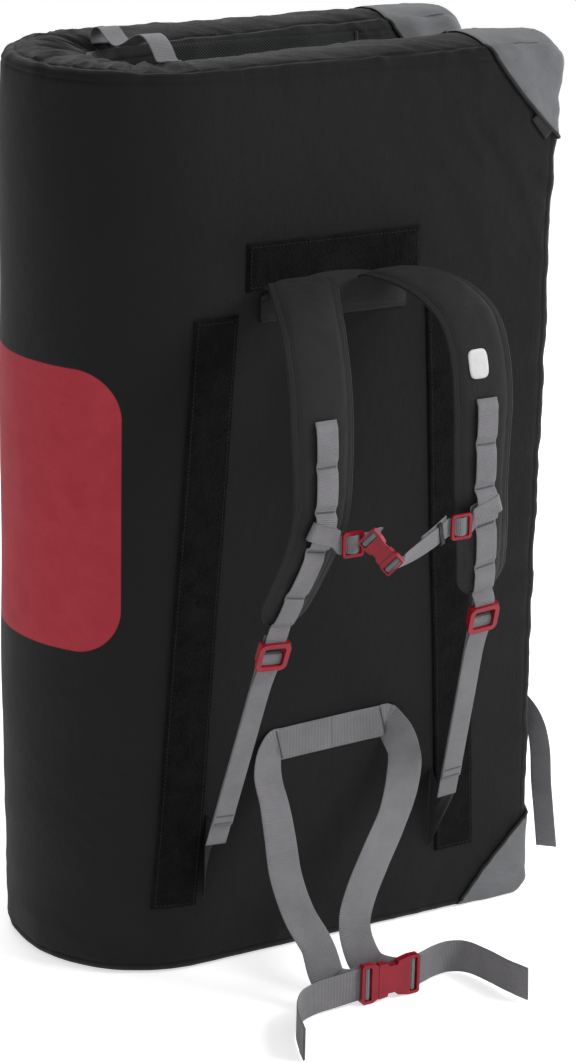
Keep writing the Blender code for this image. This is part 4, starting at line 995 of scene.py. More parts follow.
face_columns = patches["front_outer"]["points"].shape[1]
outline_count = patches["front_band"]["points"].shape[0]
inside = (split_column, face_columns - 1)
outside = (0, split_column)
inside_line = [(split_column, outline_count - 1 - split_column)]
outside_line = [(0, split_column), (outline_count - 1 - split_column, outline_count - 1)]
wedge = angle_count // 12
half_parts = ("outer_panel", "landing_panel", "gusset", "base_foam", "core_foam", "landing_foam")
for label in ("front", "back"):
    made = cover_piece(f"{label}_cover", half_groups(label, inside, inside_line))
    finish_piece(made, f"{label}_half", [f"{label}_{part}" for part in half_parts])
chain = ["front_half"] + [f"fold_{i}" for i in range(1, 7)] + ["back_half"]
for index in range(7):
    first = 0 if index == 0 else wedge * (2 * index - 1)
    last = angle_count if index == 6 else wedge * (2 * index + 1)
    groups = []
    for patch_name, kind in (("fold_outer", 0), ("fold_landing", 1)):
        groups.append((patch_faces(patch_name, None, (first, last)), kind))
    for patch_name in ("fold_top", "fold_bottom"):
        groups.append((patch_faces(patch_name, (first, last)), 0))
    if index in (0, 6):
        groups += half_groups("front" if index == 0 else "back", outside, outside_line)
    made = cover_piece(f"fold_cover_{index + 1}", groups)
    angle = index * fold_step
    pivot = Vector((fold_x - hinge_radius * math.sin(angle), fold_y - hinge_radius * math.cos(angle), 0))
    way = Vector((-math.cos(angle), math.sin(angle), 0)) * hinge_blend
    names = [f"fold_segment_{index}"] if 0 < index < 7 else []
    finish_piece(made, None, names, (chain[index], chain[index + 1], pivot - way, pivot + way))


def drape(points, normals, offset):
    """Lays points on the cover, at an offset out of it along their normals."""
    made = np.empty_like(points)
    rows = zip(points.reshape(-1, 3), normals.reshape(-1, 3))
    for index, (point, way) in enumerate(rows):
        hit = cover_tree.ray_cast(Vector(point + way * 0.02), Vector(-way), 0.06)[0]
        made.reshape(-1, 3)[index] = (np.array(hit) if hit else point) + way * offset
    return made


def skin_at(x, z):
    """Point and normal of the ideal outer skin of the front half and, past the fold line, the fold."""
    if x >= fold_x:
        return np.array((x, -float(outer_depth(x, z)), z)), np.array((0.0, -1.0, 0.0))
    radius = outer_radius + face_crown * float(crown_at(z))
    angle = (fold_x - x) / radius
    way = np.array((-math.sin(angle), -math.cos(angle), 0.0))
    return np.array((fold_x, fold_y, z)) + way * radius, way


def skin_grid(xs_of, zs, columns):
    """A grid on the skin: xs_of gives both edges at a height."""
    points, normals, uv = [], [], []
    for z in zs:
        low, high = xs_of(z)
        row = [skin_at(low + (high - low) * share, z) for share in columns]
        points.append([p for p, _ in row])
        normals.append([n for _, n in row])
        uv.append([(low + (high - low) * share, z) for share in columns])
    return np.array(points), np.array(normals), np.array(uv)


# Hook strips

strip_width = 0.052
strip_top = 0.742
strip_bottom = 0.080
strip_inner_top = 0.115
strip_inner_bottom = 0.156
strip_across_half = 0.107
strip_thickness = 0.0024
strip_seam = 0.0045
strip_columns = (0, 0.03, 0.06, *np.linspace(0.14, 0.86, 8), 0.94, 0.97, 1)


def strip_inner(z):
    share = (z - strip_bottom) / (strip_top - strip_bottom)
    return strip_inner_bottom + (strip_inner_top - strip_inner_bottom) * share


def make_strip(name, edges, low, high, nodes, body=None, blend=None):
    rows = max(8, int((high - low) / 0.007))
    zs = [low, low + 0.0015, low + 0.003, *np.linspace(low + 0.008, high - 0.008, rows)]
    zs += [high - 0.003, high - 0.0015, high]
    points, normals, uv = skin_grid(edges, zs, strip_columns)
    seated = drape(points, normals, cloth_gap)
    ruffle = vector_noise(seated, lambda x, y, z: 0.0005 * wave(x * 120, z * 120, y))
    seated += normals * ruffle[..., None]
    made = thin_solid(name, seated, normals, uv, strip_thickness, hook_cloth)
    finish_piece(made, body, nodes, blend)
    count = max(10, int((high - low) / 0.01))
    sewn_zs = np.linspace(low + strip_seam, high - strip_seam, count)
    lines = [
        [(edges(z)[0] + strip_seam, z) for z in sewn_zs],
        [(edges(z)[1] - strip_seam, z) for z in sewn_zs],
    ]
    for z in (low + strip_seam, high - strip_seam):
        start, end = edges(z)
        lines.append([(x, z) for x in np.linspace(start + strip_seam, end - strip_seam, 12)])
    runs = []
    for line in lines:
        points, ways = map(np.array, zip(*[skin_at(x, z) for x, z in line]))
        runs.append((drape(points, ways, strip_thickness + 0.0004), ways))
    sewn = stitches(f"{name}_stitches", runs, black_thread, 0.00032)
    finish_piece(sewn, body, (), blend)


def spread_edges(inner, mirrored):
    """Both edges of a strip, at a height, from how far its inner edge is from the middle."""
    if mirrored:
        return harness_x - inner - strip_width, harness_x - inner
    return harness_x + inner, harness_x + inner + strip_width


fold_start = Vector((fold_x + hinge_blend, fold_y - hinge_radius, 0))
fold_end = Vector((fold_x - hinge_blend, fold_y - hinge_radius, 0))
make_strip(
    "hook_strip_across", lambda z: (harness_x - strip_across_half, harness_x + strip_across_half),
    yoke_top, yoke_top + strip_width, ["hook_strip_top"], "front_half",
)
make_strip(
    "hook_strip_right_cloth", lambda z: spread_edges(strip_inner(z), False), strip_bottom, strip_top,
    ["hook_strip_right"], "front_half",
)
make_strip(
    "hook_strip_left_cloth", lambda z: spread_edges(strip_inner(z), True), strip_bottom, strip_top,
    ["hook_strip_left", "hook_strip_left_edge"], None, ("front_half", "fold_1", fold_start, fold_end),
)


# Corner boots

boot_reach = 0.080
boot_drop = 0.105
boot_bow = 0.004
boot_gap = 0.0014
boot_cloth = 0.0011
boot_top_count = 16


def boot_rim(top):
    """The half's outline round one corner, with its outward directions."""
    line = []
    if top:
        places = np.linspace(0, 0.96, boot_top_count)
        line = [(float(rim_x(0)) - boot_reach * (1 - share), 0) for share in places]
    rounds = corner_radius * (1 - np.cos(np.linspace(0 if top else 0.12, PI / 2, 12)))
    heights = [*rounds, *np.linspace(corner_radius, boot_drop, 18)[1:]]
    rim = np.array(line + [(float(rim_x(z)), z) for z in heights])
    out = outward_of(rim)
    if top:
        out[:boot_top_count] = (0, -1)
    return rim, out


def make_boot(side, top):
    front = side == "front"
    sign = -1 if front else 1
    rim, out = boot_rim(top)
    first = np.array((float(rim_x(0)) - boot_reach, 0.0))
    last = np.array((float(rim_x(boot_drop)), boot_drop))
    square = np.array((-1, 1)) / math.sqrt(2)
    face_shares = (0, 0.02, 0.06, 0.15, 0.3, 0.45, 0.6, 0.72, 0.82, 0.9, 0.96, 1)
    columns = [("outer", share) for share in face_shares]
    columns += [("band", share) for share in np.cos(np.linspace(0, PI, 15))]
    columns += [("landing", share) for share in reversed(face_shares)]
    points, normals, uv = blank_grid(len(rim), len(columns))
    for v, (edge, outward) in enumerate(zip(rim, out)):
        run = v / (len(rim) - 1)
        start = first + (last - first) * run + square * boot_bow * math.sin(PI * run)
        for u, (zone, share) in enumerate(columns):
            if zone == "band":
                depth = share * band_depth
                puff = float(bulge_at(depth)) * (1 if top else min(edge[1] / (4 * corner_radius), 1))
                x, z = edge + outward * puff
                way = np.array((outward[0], 0, outward[1]))
            else:
                outer = zone == "outer"
                x, z = start + (edge - start) * share
                z = max(z, 0)
                e = float(edge_distance(x, z))
                surface = float(outer_depth(x, z) if outer else landing_depth(x, z))
                depth = surface - float(drop_at(e)) * (1 if outer else -1)
                lean = math.acos(min(max(1 - e / edge_round, 0), 1)) if e < edge_round else PI / 2
                level, facing = math.cos(lean), sign if outer else -sign
                way = np.array((outward[0] * level, facing * math.sin(lean), outward[1] * level))
            points[v, u] = half_point(front, x, depth, panel_height - z if top else z)
            way[2] = -way[2] if top else way[2]
            normals[v, u] = way / max(np.linalg.norm(way), 1e-9)
            uv[v, u] = (v * 0.005, u * 0.006)
    seated = drape(points, normals, boot_gap)
    rumple = vector_noise(seated, lambda x, y, z: 0.0005 * wave(x * 45, y * 38, z * 45))
    seated += normals * rumple[..., None]
    name = f"{side}_{'top' if top else 'bottom'}_boot"
    made = thin_solid(f"{name}_cloth", seated, normals, uv, boot_cloth, grey_cloth)
    if not top:
        floor_free(made)
    finish_piece(made, f"{side}_half", [name])
    for end, zone in ((0, "outer"), (-1, "landing")):
        line = seated[:, end] + normals[:, end] * boot_cloth
        keep = line[:, 2] > 0.004
        ways = normals[:, end][keep]
        cord = tube(f"{name}_piping_{zone}", line[keep], piping_radius, binding_cloth, 8, 0.8, ways)
        finish_piece(cord, f"{side}_half")


def floor_free(made):
    """Lifts what has sunk below the floor back onto it."""
    for vertex in made.data.vertices:
        vertex.co.z = max(vertex.co.z, 0.0)


for side_name in ("front", "back"):
    for is_top in (True, False):
        make_boot(side_name, is_top)


# Places on the harness


def square_to(hint, tangent):
    return (hint - tangent * hint.dot(tangent)).normalized()


def mix(a, b, share):
    return a + (b - a) * share


def shares(count):
    return [step / count for step in range(count + 1)]


def curve_through(points, share):
    spot = min(max(share, 0), 1) * (len(points) - 1)
    index = min(int(spot), len(points) - 2)
    t = spot - index
    p1, p2 = points[index], points[index + 1]
    p0 = points[index - 1] if index else p1 * 2 - p2
    p3 = points[index + 2] if index + 2 < len(points) else p2 * 2 - p1
    square = (p0 * 2 - p1 * 5 + p2 * 4 - p3) * t**2
    return (p1 * 2 + (p2 - p0) * t + square + (p1 * 3 - p0 - p2 * 3 + p3) * t**3) / 2


def frame_at(origin, along, face):
    along = along.normalized()
    face = square_to(face, along)
    made = Matrix((along, face.cross(along), face)).transposed().to_4x4()
    made.translation = origin
    return made


def turn(centre_s, centre_n, radius, start, end, steps=6):
    points = []
    for share in shares(steps):
        angle = math.radians(mix(start, end, share))
        points.append((centre_s + radius * math.cos(angle), centre_n + radius * math.sin(angle)))
    return points


def placed(local, side_view):
    return [local @ Vector((s, 0, n)) for s, n in side_view]


def hung(route_shares, start, end):
    span = (end - start).length
    return [start.lerp(end, share) + Vector(off) * span for share, *off in route_shares]


def trailed(route_shares, start, length):
    return [start + Vector(point) * length for point in route_shares]


def joined(*runs):
    route, acrosses = [], []
    for points, directions in runs:
        route += points
        acrosses += [directions] * len(points) if isinstance(directions, Vector) else directions
    return route, acrosses


def eased(points, directions, steps):
    if isinstance(directions, Vector):
        directions = [directions] * len(points)
    return tuple([curve_through(run, share) for share in shares(steps)] for run in (points, directions))


def directions_of(*pairs):
    found = []
    for count, direction in pairs:
        found += [Vector(direction).normalized()] * count
    return found


shoulder_routes = {}


def shoulder_route(side):
    if side not in shoulder_routes:
        drop = yoke_top - lock_height
        route = []
        for index, (spread, reach, fall) in enumerate(shoulder_route_shares):
            lift = strap_top_lift * max(1 - index / 6, 0)
            x, y = harness_x + side * strap_spread * spread, -half_thickness - strap_reach * reach
            route.append(Vector((x, y, yoke_top - drop * fall + lift)))
        shoulder_routes[side] = route
    return shoulder_routes[side]


def shoulder_frame(side, share):
    points = shoulder_route(side)
    point = curve_through(points, share)
    ahead, behind = min(share + 0.01, 1), max(share - 0.01, 0)
    tangent = (curve_through(points, ahead) - curve_through(points, behind)).normalized()
    across = square_to(X, tangent)
    return point, tangent, across, tangent.cross(across)


def anchor_point(side):
    return Vector((harness_x + side * anchor_x, -half_thickness - anchor_reach, anchor_height))


def lock_frame(side):
    lock = Vector((harness_x + side * strap_spread, -half_thickness - strap_reach * 0.745, lock_height))
    return frame_at(lock, lock - anchor_point(side), -Y)


def rear_bar_place():
    return lock_length / 2 - lock_rail / 2, -(lock_plate / 2 + seat + webbing + seat + lock_bar / 2)


def middle_bar_place():
    return -lock_bar / 2, rear_bar_place()[1]


# Shoulder straps


def pad_section(side, v):
    """Place, width and thickness of a shoulder pad at a share of its length."""
    point, tangent, across, face = shoulder_frame(side, v)
    width = mix(pad_width, pad_end_width, max(v - pad_taper_start, 0) / (1 - pad_taper_start))
    end = max(v - pad_round_start, 0) / (1 - pad_round_start)
    width *= math.sqrt(max(1 - (end * 0.8) ** 2, 0))
    taper = min(1, (1 - v) / 0.03 * 0.75 + 0.25, v / 0.06 * 0.7 + 0.3)
    return point - face * (pad_depth / 2), across, face, width, taper


def pad_thickness_at(c, taper):
    return mix(pad_edge, pad_depth, (1 - abs(c) ** 3) * taper)


def make_pad(name, side):
    across_at = np.sin(np.linspace(-1, 1, 29) * PI / 2)
    ring = [(1, c) for c in across_at] + [(-1, c) for c in across_at[::-1][1:-1]]
    vertices, uvs = [], []
    for v in np.concatenate([np.linspace(0, pad_round_start, 120), np.linspace(0.945, 1, 16)]):
        middle, across, face, width, taper = pad_section(side, v)
        for front, c in ring:
            inward = (1 - abs(c)) * width / 2
            full = 1 - abs(c) ** 3
            thick = pad_thickness_at(c, taper) if inward >= 0.0001 else 0
            groove = pad_seam_depth * math.exp(-(((inward - pad_seam) / 0.0016) ** 2)) * taper
            rumple = 0.0007 * wave(side * 3 + v * 26, c * 2.2, front * 2.0) * full * taper
            rumple += 0.0005 * wave(v * 75, c * 1.1, side + front) * full * taper
            raised = front * max(thick / 2 - groove + rumple, 0.0004)
            vertices.append(middle + across * (c * width / 2) + face * raised)
            uvs.append((c * width / 2 + (front < 0) * 0.2, v * pad_length))
    faces = grid_faces(len(vertices) // len(ring), len(ring), closed=True)
    made = closed_tube(f"shoulder_pad_{name}_padded", vertices, faces, uvs, len(ring), pad_cloth)
    finish_piece(made, "front_half", [f"shoulder_pad_{name}"])
    edge_points, edge_normals = [], []
    middle, across, face, width, taper = pad_section(side, 1.0)
    tangent = shoulder_frame(side, 1)[1]
    rounded = [
        middle + across * math.cos(angle) * width / 2 + tangent * math.sin(angle) * 0.0025
        for angle in np.linspace(PI, 0, 13)[1:-1]
    ]
    for edge, around in ((-1, np.linspace(0.03, 0.999, 110)), (1, np.linspace(0.999, 0.03, 110))):
        for middle, across, face, width, taper in (pad_section(side, v) for v in around):
            edge_points.append(middle + across * (edge * width / 2))
            edge_normals.append(face)
        if edge < 0:
            edge_points += rounded
            edge_normals += [pad_section(side, 1.0)[2]] * len(rounded)
    bound = tube(f"pad_binding_{name}", edge_points, 0.0020, pad_cloth, 10, 0.95, edge_normals)
    finish_piece(bound, "front_half")
    runs = []
    for edge in (-1, 1):
        line, ways = [], []
        for v in np.linspace(0.05, 0.93, 150):
            middle, across, face, width, taper = pad_section(side, v)
            c = edge * (1 - 2 * pad_seam / width)
            raised = pad_thickness_at(c, taper) / 2 - 0.0007
            line.append(middle + across * c * width / 2 + face * raised)
            ways.append(face)
        runs.append((line, ways))
    sewn = stitches(f"pad_stitches_{name}", runs, black_thread, 0.0003)
    finish_piece(sewn, "front_half")


def bartacks(name, places, width, rise):
    """Dense zigzags of thread across webbing, each at a point with its three directions."""
    vertices, faces = [], []
    rows = 14
    for point, along, across, face in places:
        base = len(vertices)
        for k in range(rows + 1):
            middle = point + across * ((k / rows - 0.5) * width)
            shift = 0.00045 if k % 2 else -0.00045
            for s, n in ((-0.0008, 0), (-0.0004, 0.0006), (0.0004, 0.0006), (0.0008, 0)):
                vertices.append(middle + along * (s + shift) + face * (rise + n))
        for here in range(base, base + 4 * rows, 4):
            faces += [(here + c, here + c + 1, here + c + 5, here + c + 4) for c in range(3)]
            faces.append((here + 3, here, here + 4, here + 7))
        last = base + 4 * rows
        faces += [(base, base + 3, base + 2, base + 1), (last, last + 1, last + 2, last + 3)]
    sewn = add_object(name, vertices, faces, grey_thread, [(0, 0)] * sum(map(len, faces)))
    finish_piece(sewn, "front_half")


def make_daisy(name, side):
    lock = lock_frame(side)
    route, acrosses, tacks = [], [], []
    for start, end in zip(daisy_tacks, daisy_tacks[1:]):
        threaded = start < sternum_loop_share < end
        top = daisy_rise if threaded else daisy_rise * 0.42
        for share, rise in daisy_bay_shares:
            point, tangent, across, face = shoulder_frame(side, mix(start, end, share))
            route.append(point + face * (soft_seat + webbing / 2 + top * rise))
            acrosses.append(across)
        first = 0.012 if start == daisy_tacks[0] else 0.002
        tacks.append(shoulder_frame(side, start + first))
    point, tangent, across, face = shoulder_frame(side, 1)
    route.append(point + face * (soft_seat + webbing / 2))
    acrosses.append(across)
    across = (lock.to_3x3() @ Y).normalized()
    across = across if across.dot(X) > 0 else -across
    radius = lock_bar / 2 + seat + webbing / 2
    centre_s, centre_n = rear_bar_place()
    bend = [(2 * centre_s - s, n) for s, n in turn(centre_s, centre_n, radius, 90, -90)]
    loop = [(centre_s + strap_width * 0.3, centre_n + radius), *bend]
    loop += [(centre_s + strap_width * 0.35, centre_n - radius)]
    route += placed(lock, loop)
    acrosses += [across] * len(loop)
    made = strap(f"daisy_{name}", route, acrosses, strap_width, hems=(0.012, 0), step=0.0025)
    finish_piece(made, "front_half", [f"daisy_webbing_{name}"])
    bartacks(f"bartacks_{name}", tacks, strap_width * 0.86, soft_seat + webbing + 0.0001)


def make_adjuster(name, side):
    lock = lock_frame(side)
    length = (lock.translation - anchor_point(side)).length
    centre_s, centre_n = middle_bar_place()
    radius = lock_bar / 2 + seat + webbing / 2
    back_n, front_n = centre_n - radius, centre_n + radius
    lap_n = back_n + webbing + seat
    points = [(-length * share, back_n) for share in (1, 0.75, 0.5, 0.25)]
    points += turn(centre_s, centre_n, radius, -90, 90)
    points += [(-lock_length / 2, front_n), (-lock_length, mix(front_n, lap_n, 0.7))]
    points += [(-lock_length * 1.4, lap_n)]
    points += [(-(length - tail_short) * share, lap_n) for share in (0.5, 0.75, 1)]
    along, across, face = ((lock.to_3x3() @ way).normalized() for way in (X, Y, Z))
    acrosses = [across] * len(points)
    made = strap(f"adjuster_{name}", placed(lock, points), acrosses, strap_width, hems=(0, 0.016))
    finish_piece(made, "front_half", [f"adjuster_webbing_{name}"])
    end = tail_short - length
    places = placed(lock, ((end + s, lap_n) for s in (0.013, 0.003)))
    tacks = [(point, along, across, face) for point in places]
    bartacks(f"tail_stitches_{name}", tacks, strap_width * 0.84, webbing * 0.86)


def make_wing(name, side):
    """The cloth triangle that ties the adjuster to the pad, creased towards the webbing."""
    lock = lock_frame(side)
    length = (lock.translation - anchor_point(side)).length
    back_n = middle_bar_place()[1] - lock_bar / 2 - seat - webbing
    lap_n = back_n - seat - fabric / 2
    outward = -side if (lock.to_3x3() @ Y).dot(X) > 0 else side
    run_way = (lock.to_3x3() @ Y) * (-outward)
    us, vs = np.linspace(0, 1, 21), np.linspace(0, 1, 25)
    points, normals, uv = blank_grid(len(us), len(vs))
    for i, u in enumerate(us):
        sewn = Vector(skin_at(harness_x + side * wing_x, mix(*wing_heights, u))[0]) - Y * soft_seat
        edge = lock @ Vector((-length + wing_lap * (1 - u), strap_width * (0.5 - u) * outward, lap_n))
        tangent = (edge - sewn).normalized()
        for j, v in enumerate(vs):
            face = tangent.cross(mix(-Z, run_way, v)).normalized()
            crease = wing_crease * wave(u * 6, v * 1.5, side * 2) * math.sin(PI * v) ** 0.5
            spot = sewn.lerp(edge, v) + face * crease
            points[i, j] = spot - face * fabric / 2
            normals[i, j] = face
            uv[i, j] = (u * 0.1, v * 0.06)
    made = thin_solid(f"anchor_wing_{name}_cloth", points, normals, uv, fabric, pad_cloth, 0.8)
    finish_piece(made, "front_half", [f"anchor_wing_{name}"])


def make_yoke():
    """The padded panel that both shoulder straps are sewn to."""
    us, vs = (np.sin(np.linspace(-1, 1, count) * PI / 2) / 2 + 0.5 for count in (61, 21))
    points, normals, uv = blank_grid(len(vs), len(us))
    fat = np.zeros((len(vs), len(us)))
    for j, v in enumerate(vs):
        for i, u in enumerate(us):
            x = harness_x + mix(-yoke_half_width, yoke_half_width, u)
            arch = 1 - abs(2 * u - 1) ** 2
            z = mix(yoke_top - yoke_height, yoke_top - yoke_drop + yoke_arch * arch, v)
            points[j, i], normals[j, i] = skin_at(x, z)
            uv[j, i] = (x, z)
            edge = (1 - abs(2 * v - 1) ** 4) * (1 - abs(2 * u - 1) ** 8)
            inward = min(v, 1 - v) * yoke_height
            seam = 0.0010 * math.exp(-(((inward - 0.005) / 0.0015) ** 2))
            fat[j, i] = mix(yoke_edge, yoke_thickness, edge) - seam + 0.0005 * wave(x * 60, z * 60)
    seated = drape(points, normals, cloth_gap)
    made = thin_solid("yoke_padded", seated, normals, uv, 1.0, pad_cloth, 1.0)
    padded_points = (seated + normals * fat[..., None]).reshape(-1, 3)
    for vertex, point in zip(made.data.vertices, padded_points):
        vertex.co = Vector(point)
    finish_piece(made, "front_half", ["yoke_panel"])


make_yoke()
for strap_name, strap_side in (("left", -1), ("right", 1)):
    make_pad(strap_name, strap_side)
    make_daisy(strap_name, strap_side)
    make_adjuster(strap_name, strap_side)
    make_wing(strap_name, strap_side)


# Buckles and their webbing


def buckle_sizes(width):
    bar = 0.05 * width + 1.57 * webbing
    opening = bar / 2 + seat + webbing + ladder_clearance
    thick = 0.13 * width + 2.5 * webbing
    return {
        "radius": bar / 2 + seat + webbing / 2,
        "opening": opening,
        "half": width / 2 + soft_seat + 0.09 * width,
        "thick": thick,
        "bar_n": -0.1 * thick,
        "socket_bar": -(width + ladder_margin + opening),
        "plug_bar": 0.20 * width + ladder_margin + opening,
        "turn": (bar - webbing) / 2,
    }


def loop_view(width, end, rear_run, front_run):
    size = buckle_sizes(width)
    bar_s = size["plug_bar"] if end > 0 else size["socket_bar"]
    bar_n, radius, bend = size["bar_n"], size["radius"], size["turn"]
    view = [(rear_run, -radius), (rear_run / 2, -radius)]
    view += turn(0, 0, radius, 270, 0, 10)
    view += turn(radius + bend, 0, bend, 180, 270, 3)[1:]
    if front_run > radius + bend:
        view += [(front_run, -bend)]
    return [(bar_s + end * s, bar_n + n) for s, n in view]


def leg_view(width, run):
    size = buckle_sizes(width)
    bar_s, bar_n, radius, bend = size["socket_bar"], size["bar_n"], size["radius"], size["turn"]
    rear = -size["thick"] / 2 - leg_turn
    view = [(bar_s + radius + leg_turn + run * share, rear) for share in (1, 0.5)]
    view += turn(bar_s + radius + leg_turn, rear + leg_turn, leg_turn, 270, 180, 4)
    view += turn(bar_s, bar_n, radius, 0, 180, 8)
    view += turn(bar_s - radius - bend, bar_n, bend, 0, -90, 3)[1:]
    return view


def glide_frame(x, side):
    return frame_at(Vector((x, -half_thickness - glide_depth, glide_height)), -side * X, -Y)


def glide_run(x, side):
    local = glide_frame(x, side)
    under = -glide_thickness / 2 - soft_seat - webbing / 2
    over = 2 * soft_seat + webbing / 2
    return_n = under - seat - webbing
    point, tangent, across, face = shoulder_frame(side, sternum_loop_share)
    up = tangent * math.copysign(1, tangent.z)
    level = across * math.copysign(1, side * across.x)
    outward = level * math.cos(sternum_slant) + up * math.sin(sternum_slant)
    width_way = up * math.cos(sternum_slant) - level * math.sin(sternum_slant)
    low = 2 * soft_seat + webbing / 2
    high = 2 * soft_seat + daisy_rise + 1.5 * webbing
    radius = (high - low) / 2
    edge = strap_width / 2 - radius / 2 + 0.6 * sternum_width * math.tan(sternum_slant)
    near = -0.64 * strap_width
    window = glide_half_length - glide_rail
    clear = 1.15 * glide_half_length
    points = placed(local, ((window, return_n), (0, return_n), (-clear, return_n)))
    daisy_view = [(near, low), (0, low), (edge, low), *turn(edge, low + radius, radius, -60, 60, 4)]
    daisy_view += [(edge, high), (0, high), (near, high)]
    points += [point + outward * offset + face * rise for offset, rise in daisy_view]
    points += placed(local, ((-clear, under), (-window, under), (-0.65 * glide_bar, over)))
    points += placed(local, ((0.65 * glide_bar, over), (window, under), (clear, under)))
    return points, directions_of((3, Z), (11, width_way), (6, Z))


def folded_view(width, end, depth):
    size = buckle_sizes(width)
    bar_s = size["plug_bar"] if end > 0 else size["socket_bar"]
    bar_n, radius = size["bar_n"], size["radius"]
    clear = -size["thick"] / 2 - webbing
    lap = radius - webbing - seat
    view = [(radius, -depth), (radius, mix(clear, -depth, 0.5)), (radius, clear)]
    view += [(s, bar_n + n) for s, n in turn(0, 0, radius, 0, 180, 8)]
    view += [(-radius, clear), (lap, mix(clear, -depth, 0.6)), (lap, -depth)]
    return [(bar_s + end * s, n) for s, n in view]


def webbing_piece(name, nodes, body, route, ways, width, blend=None, **how):
    finish_piece(strap(name, route, ways, width, **how), body, nodes, blend)


def after_first(run):
    return tuple(part[1:] for part in run)


def make_sternum():
    local = frame_at(sternum_buckle, sternum_axis, sternum_facing)
    way = (local.to_3x3() @ Y).normalized()
    way = way * math.copysign(1, way.z)
    loop = placed(local, folded_view(sternum_width, -1, sternum_fold_back))
    run, run_ways = glide_run(left_glide_x, -1)
    start, end = run[-1], loop[0]
    back = (local.to_3x3() @ Z).normalized() * sternum_fold_back / 2
    height = Z * (end.z - start.z)
    curl = [
        start.lerp(Vector((sternum_curl_x, start.y, start.z)), 0.5),
        Vector((sternum_curl_x, mix(start.y, end.y, 0.2), start.z)) + height * 0.35,
        Vector((sternum_curl_x, mix(start.y, end.y, 0.7), start.z)) + height * 0.7,
        end - back - height * 0.1,
    ]
    turned = [Z, Z, Z.lerp(way, 0.35), Z.lerp(way, 0.7), way, way]
    middle = tuple(part[1:-1] for part in eased([start, *curl, end], turned, 15))
    narrow = {"squared": False, "step": 0.002}
    route = joined((run, run_ways), middle, (loop, way))
    webbing_piece(
        "sternum_strap_left", ["sternum_webbing_left"], "front_half", *route, sternum_width, **narrow
    )
    view = folded_view(sternum_width, 1, sternum_fold_back)
    loop = placed(local, view)
    webbing_piece(
        "sternum_plug_loop", ["sternum_webbing_plug"], "sternum_plug", loop, [way] * len(loop),
        sternum_width, step=0.002,
    )
    meet_n = -sternum_fold_back - lap_gap
    ends = placed(local, ((view[0][0], meet_n - sternum_fold_back / 2), (view[0][0], meet_n)))
    run, run_ways = glide_run(right_glide_x, 1)
    start, end = run[-1], ends[0]
    span = (end - start).length
    slack = hung(sternum_slack_shares, start, end)
    ways = [Z, *(Z.lerp(way, share) for share in (0.05, 0.15, 0.35, 0.7)), way]
    route = joined((run, run_ways), after_first(eased([start, *slack, *ends], ways, 14)))
    blend = ("front_half", "sternum_plug", start, end)
    webbing_piece(
        "sternum_strap_right", ["sternum_webbing_right"], None, *route, sternum_width, blend, **narrow
    )
    doubled = []
    for share, bow in sternum_end_bows:
        off = Vector((0, 0.0020, 0.0045 - share * 0.006)) + Vector((0, 0.004, bow)) * span
        doubled.append(start.lerp(end, share) + off)
    webbing_piece(
        "sternum_strap_end", (), None, doubled, [Z] * 5, sternum_width, blend, hems=(0, 0.008), **narrow
    )
    across = (end - start).normalized()
    spot = start.lerp(end, 0.17) + Vector(sternum_slack_shares[0][1:]) * span * 0.7
    keeper = frame_at(spot, across, -Y)
    wide, deep = sternum_width / 2 + 0.0012, webbing / 2 + 0.0009
    sides = ((0, 1), (1, 1), (1, -1), (-1, -1), (-1, 1), (0, 1))
    ring = [keeper @ Vector((0, s * wide, n * deep)) for s, n in sides]
    webbing_piece(
        "sternum_keeper", (), None, ring, [across] * len(ring), 0.007, blend,
        finish=binding_cloth, thickness=0.0011, step=0.0015,
    )


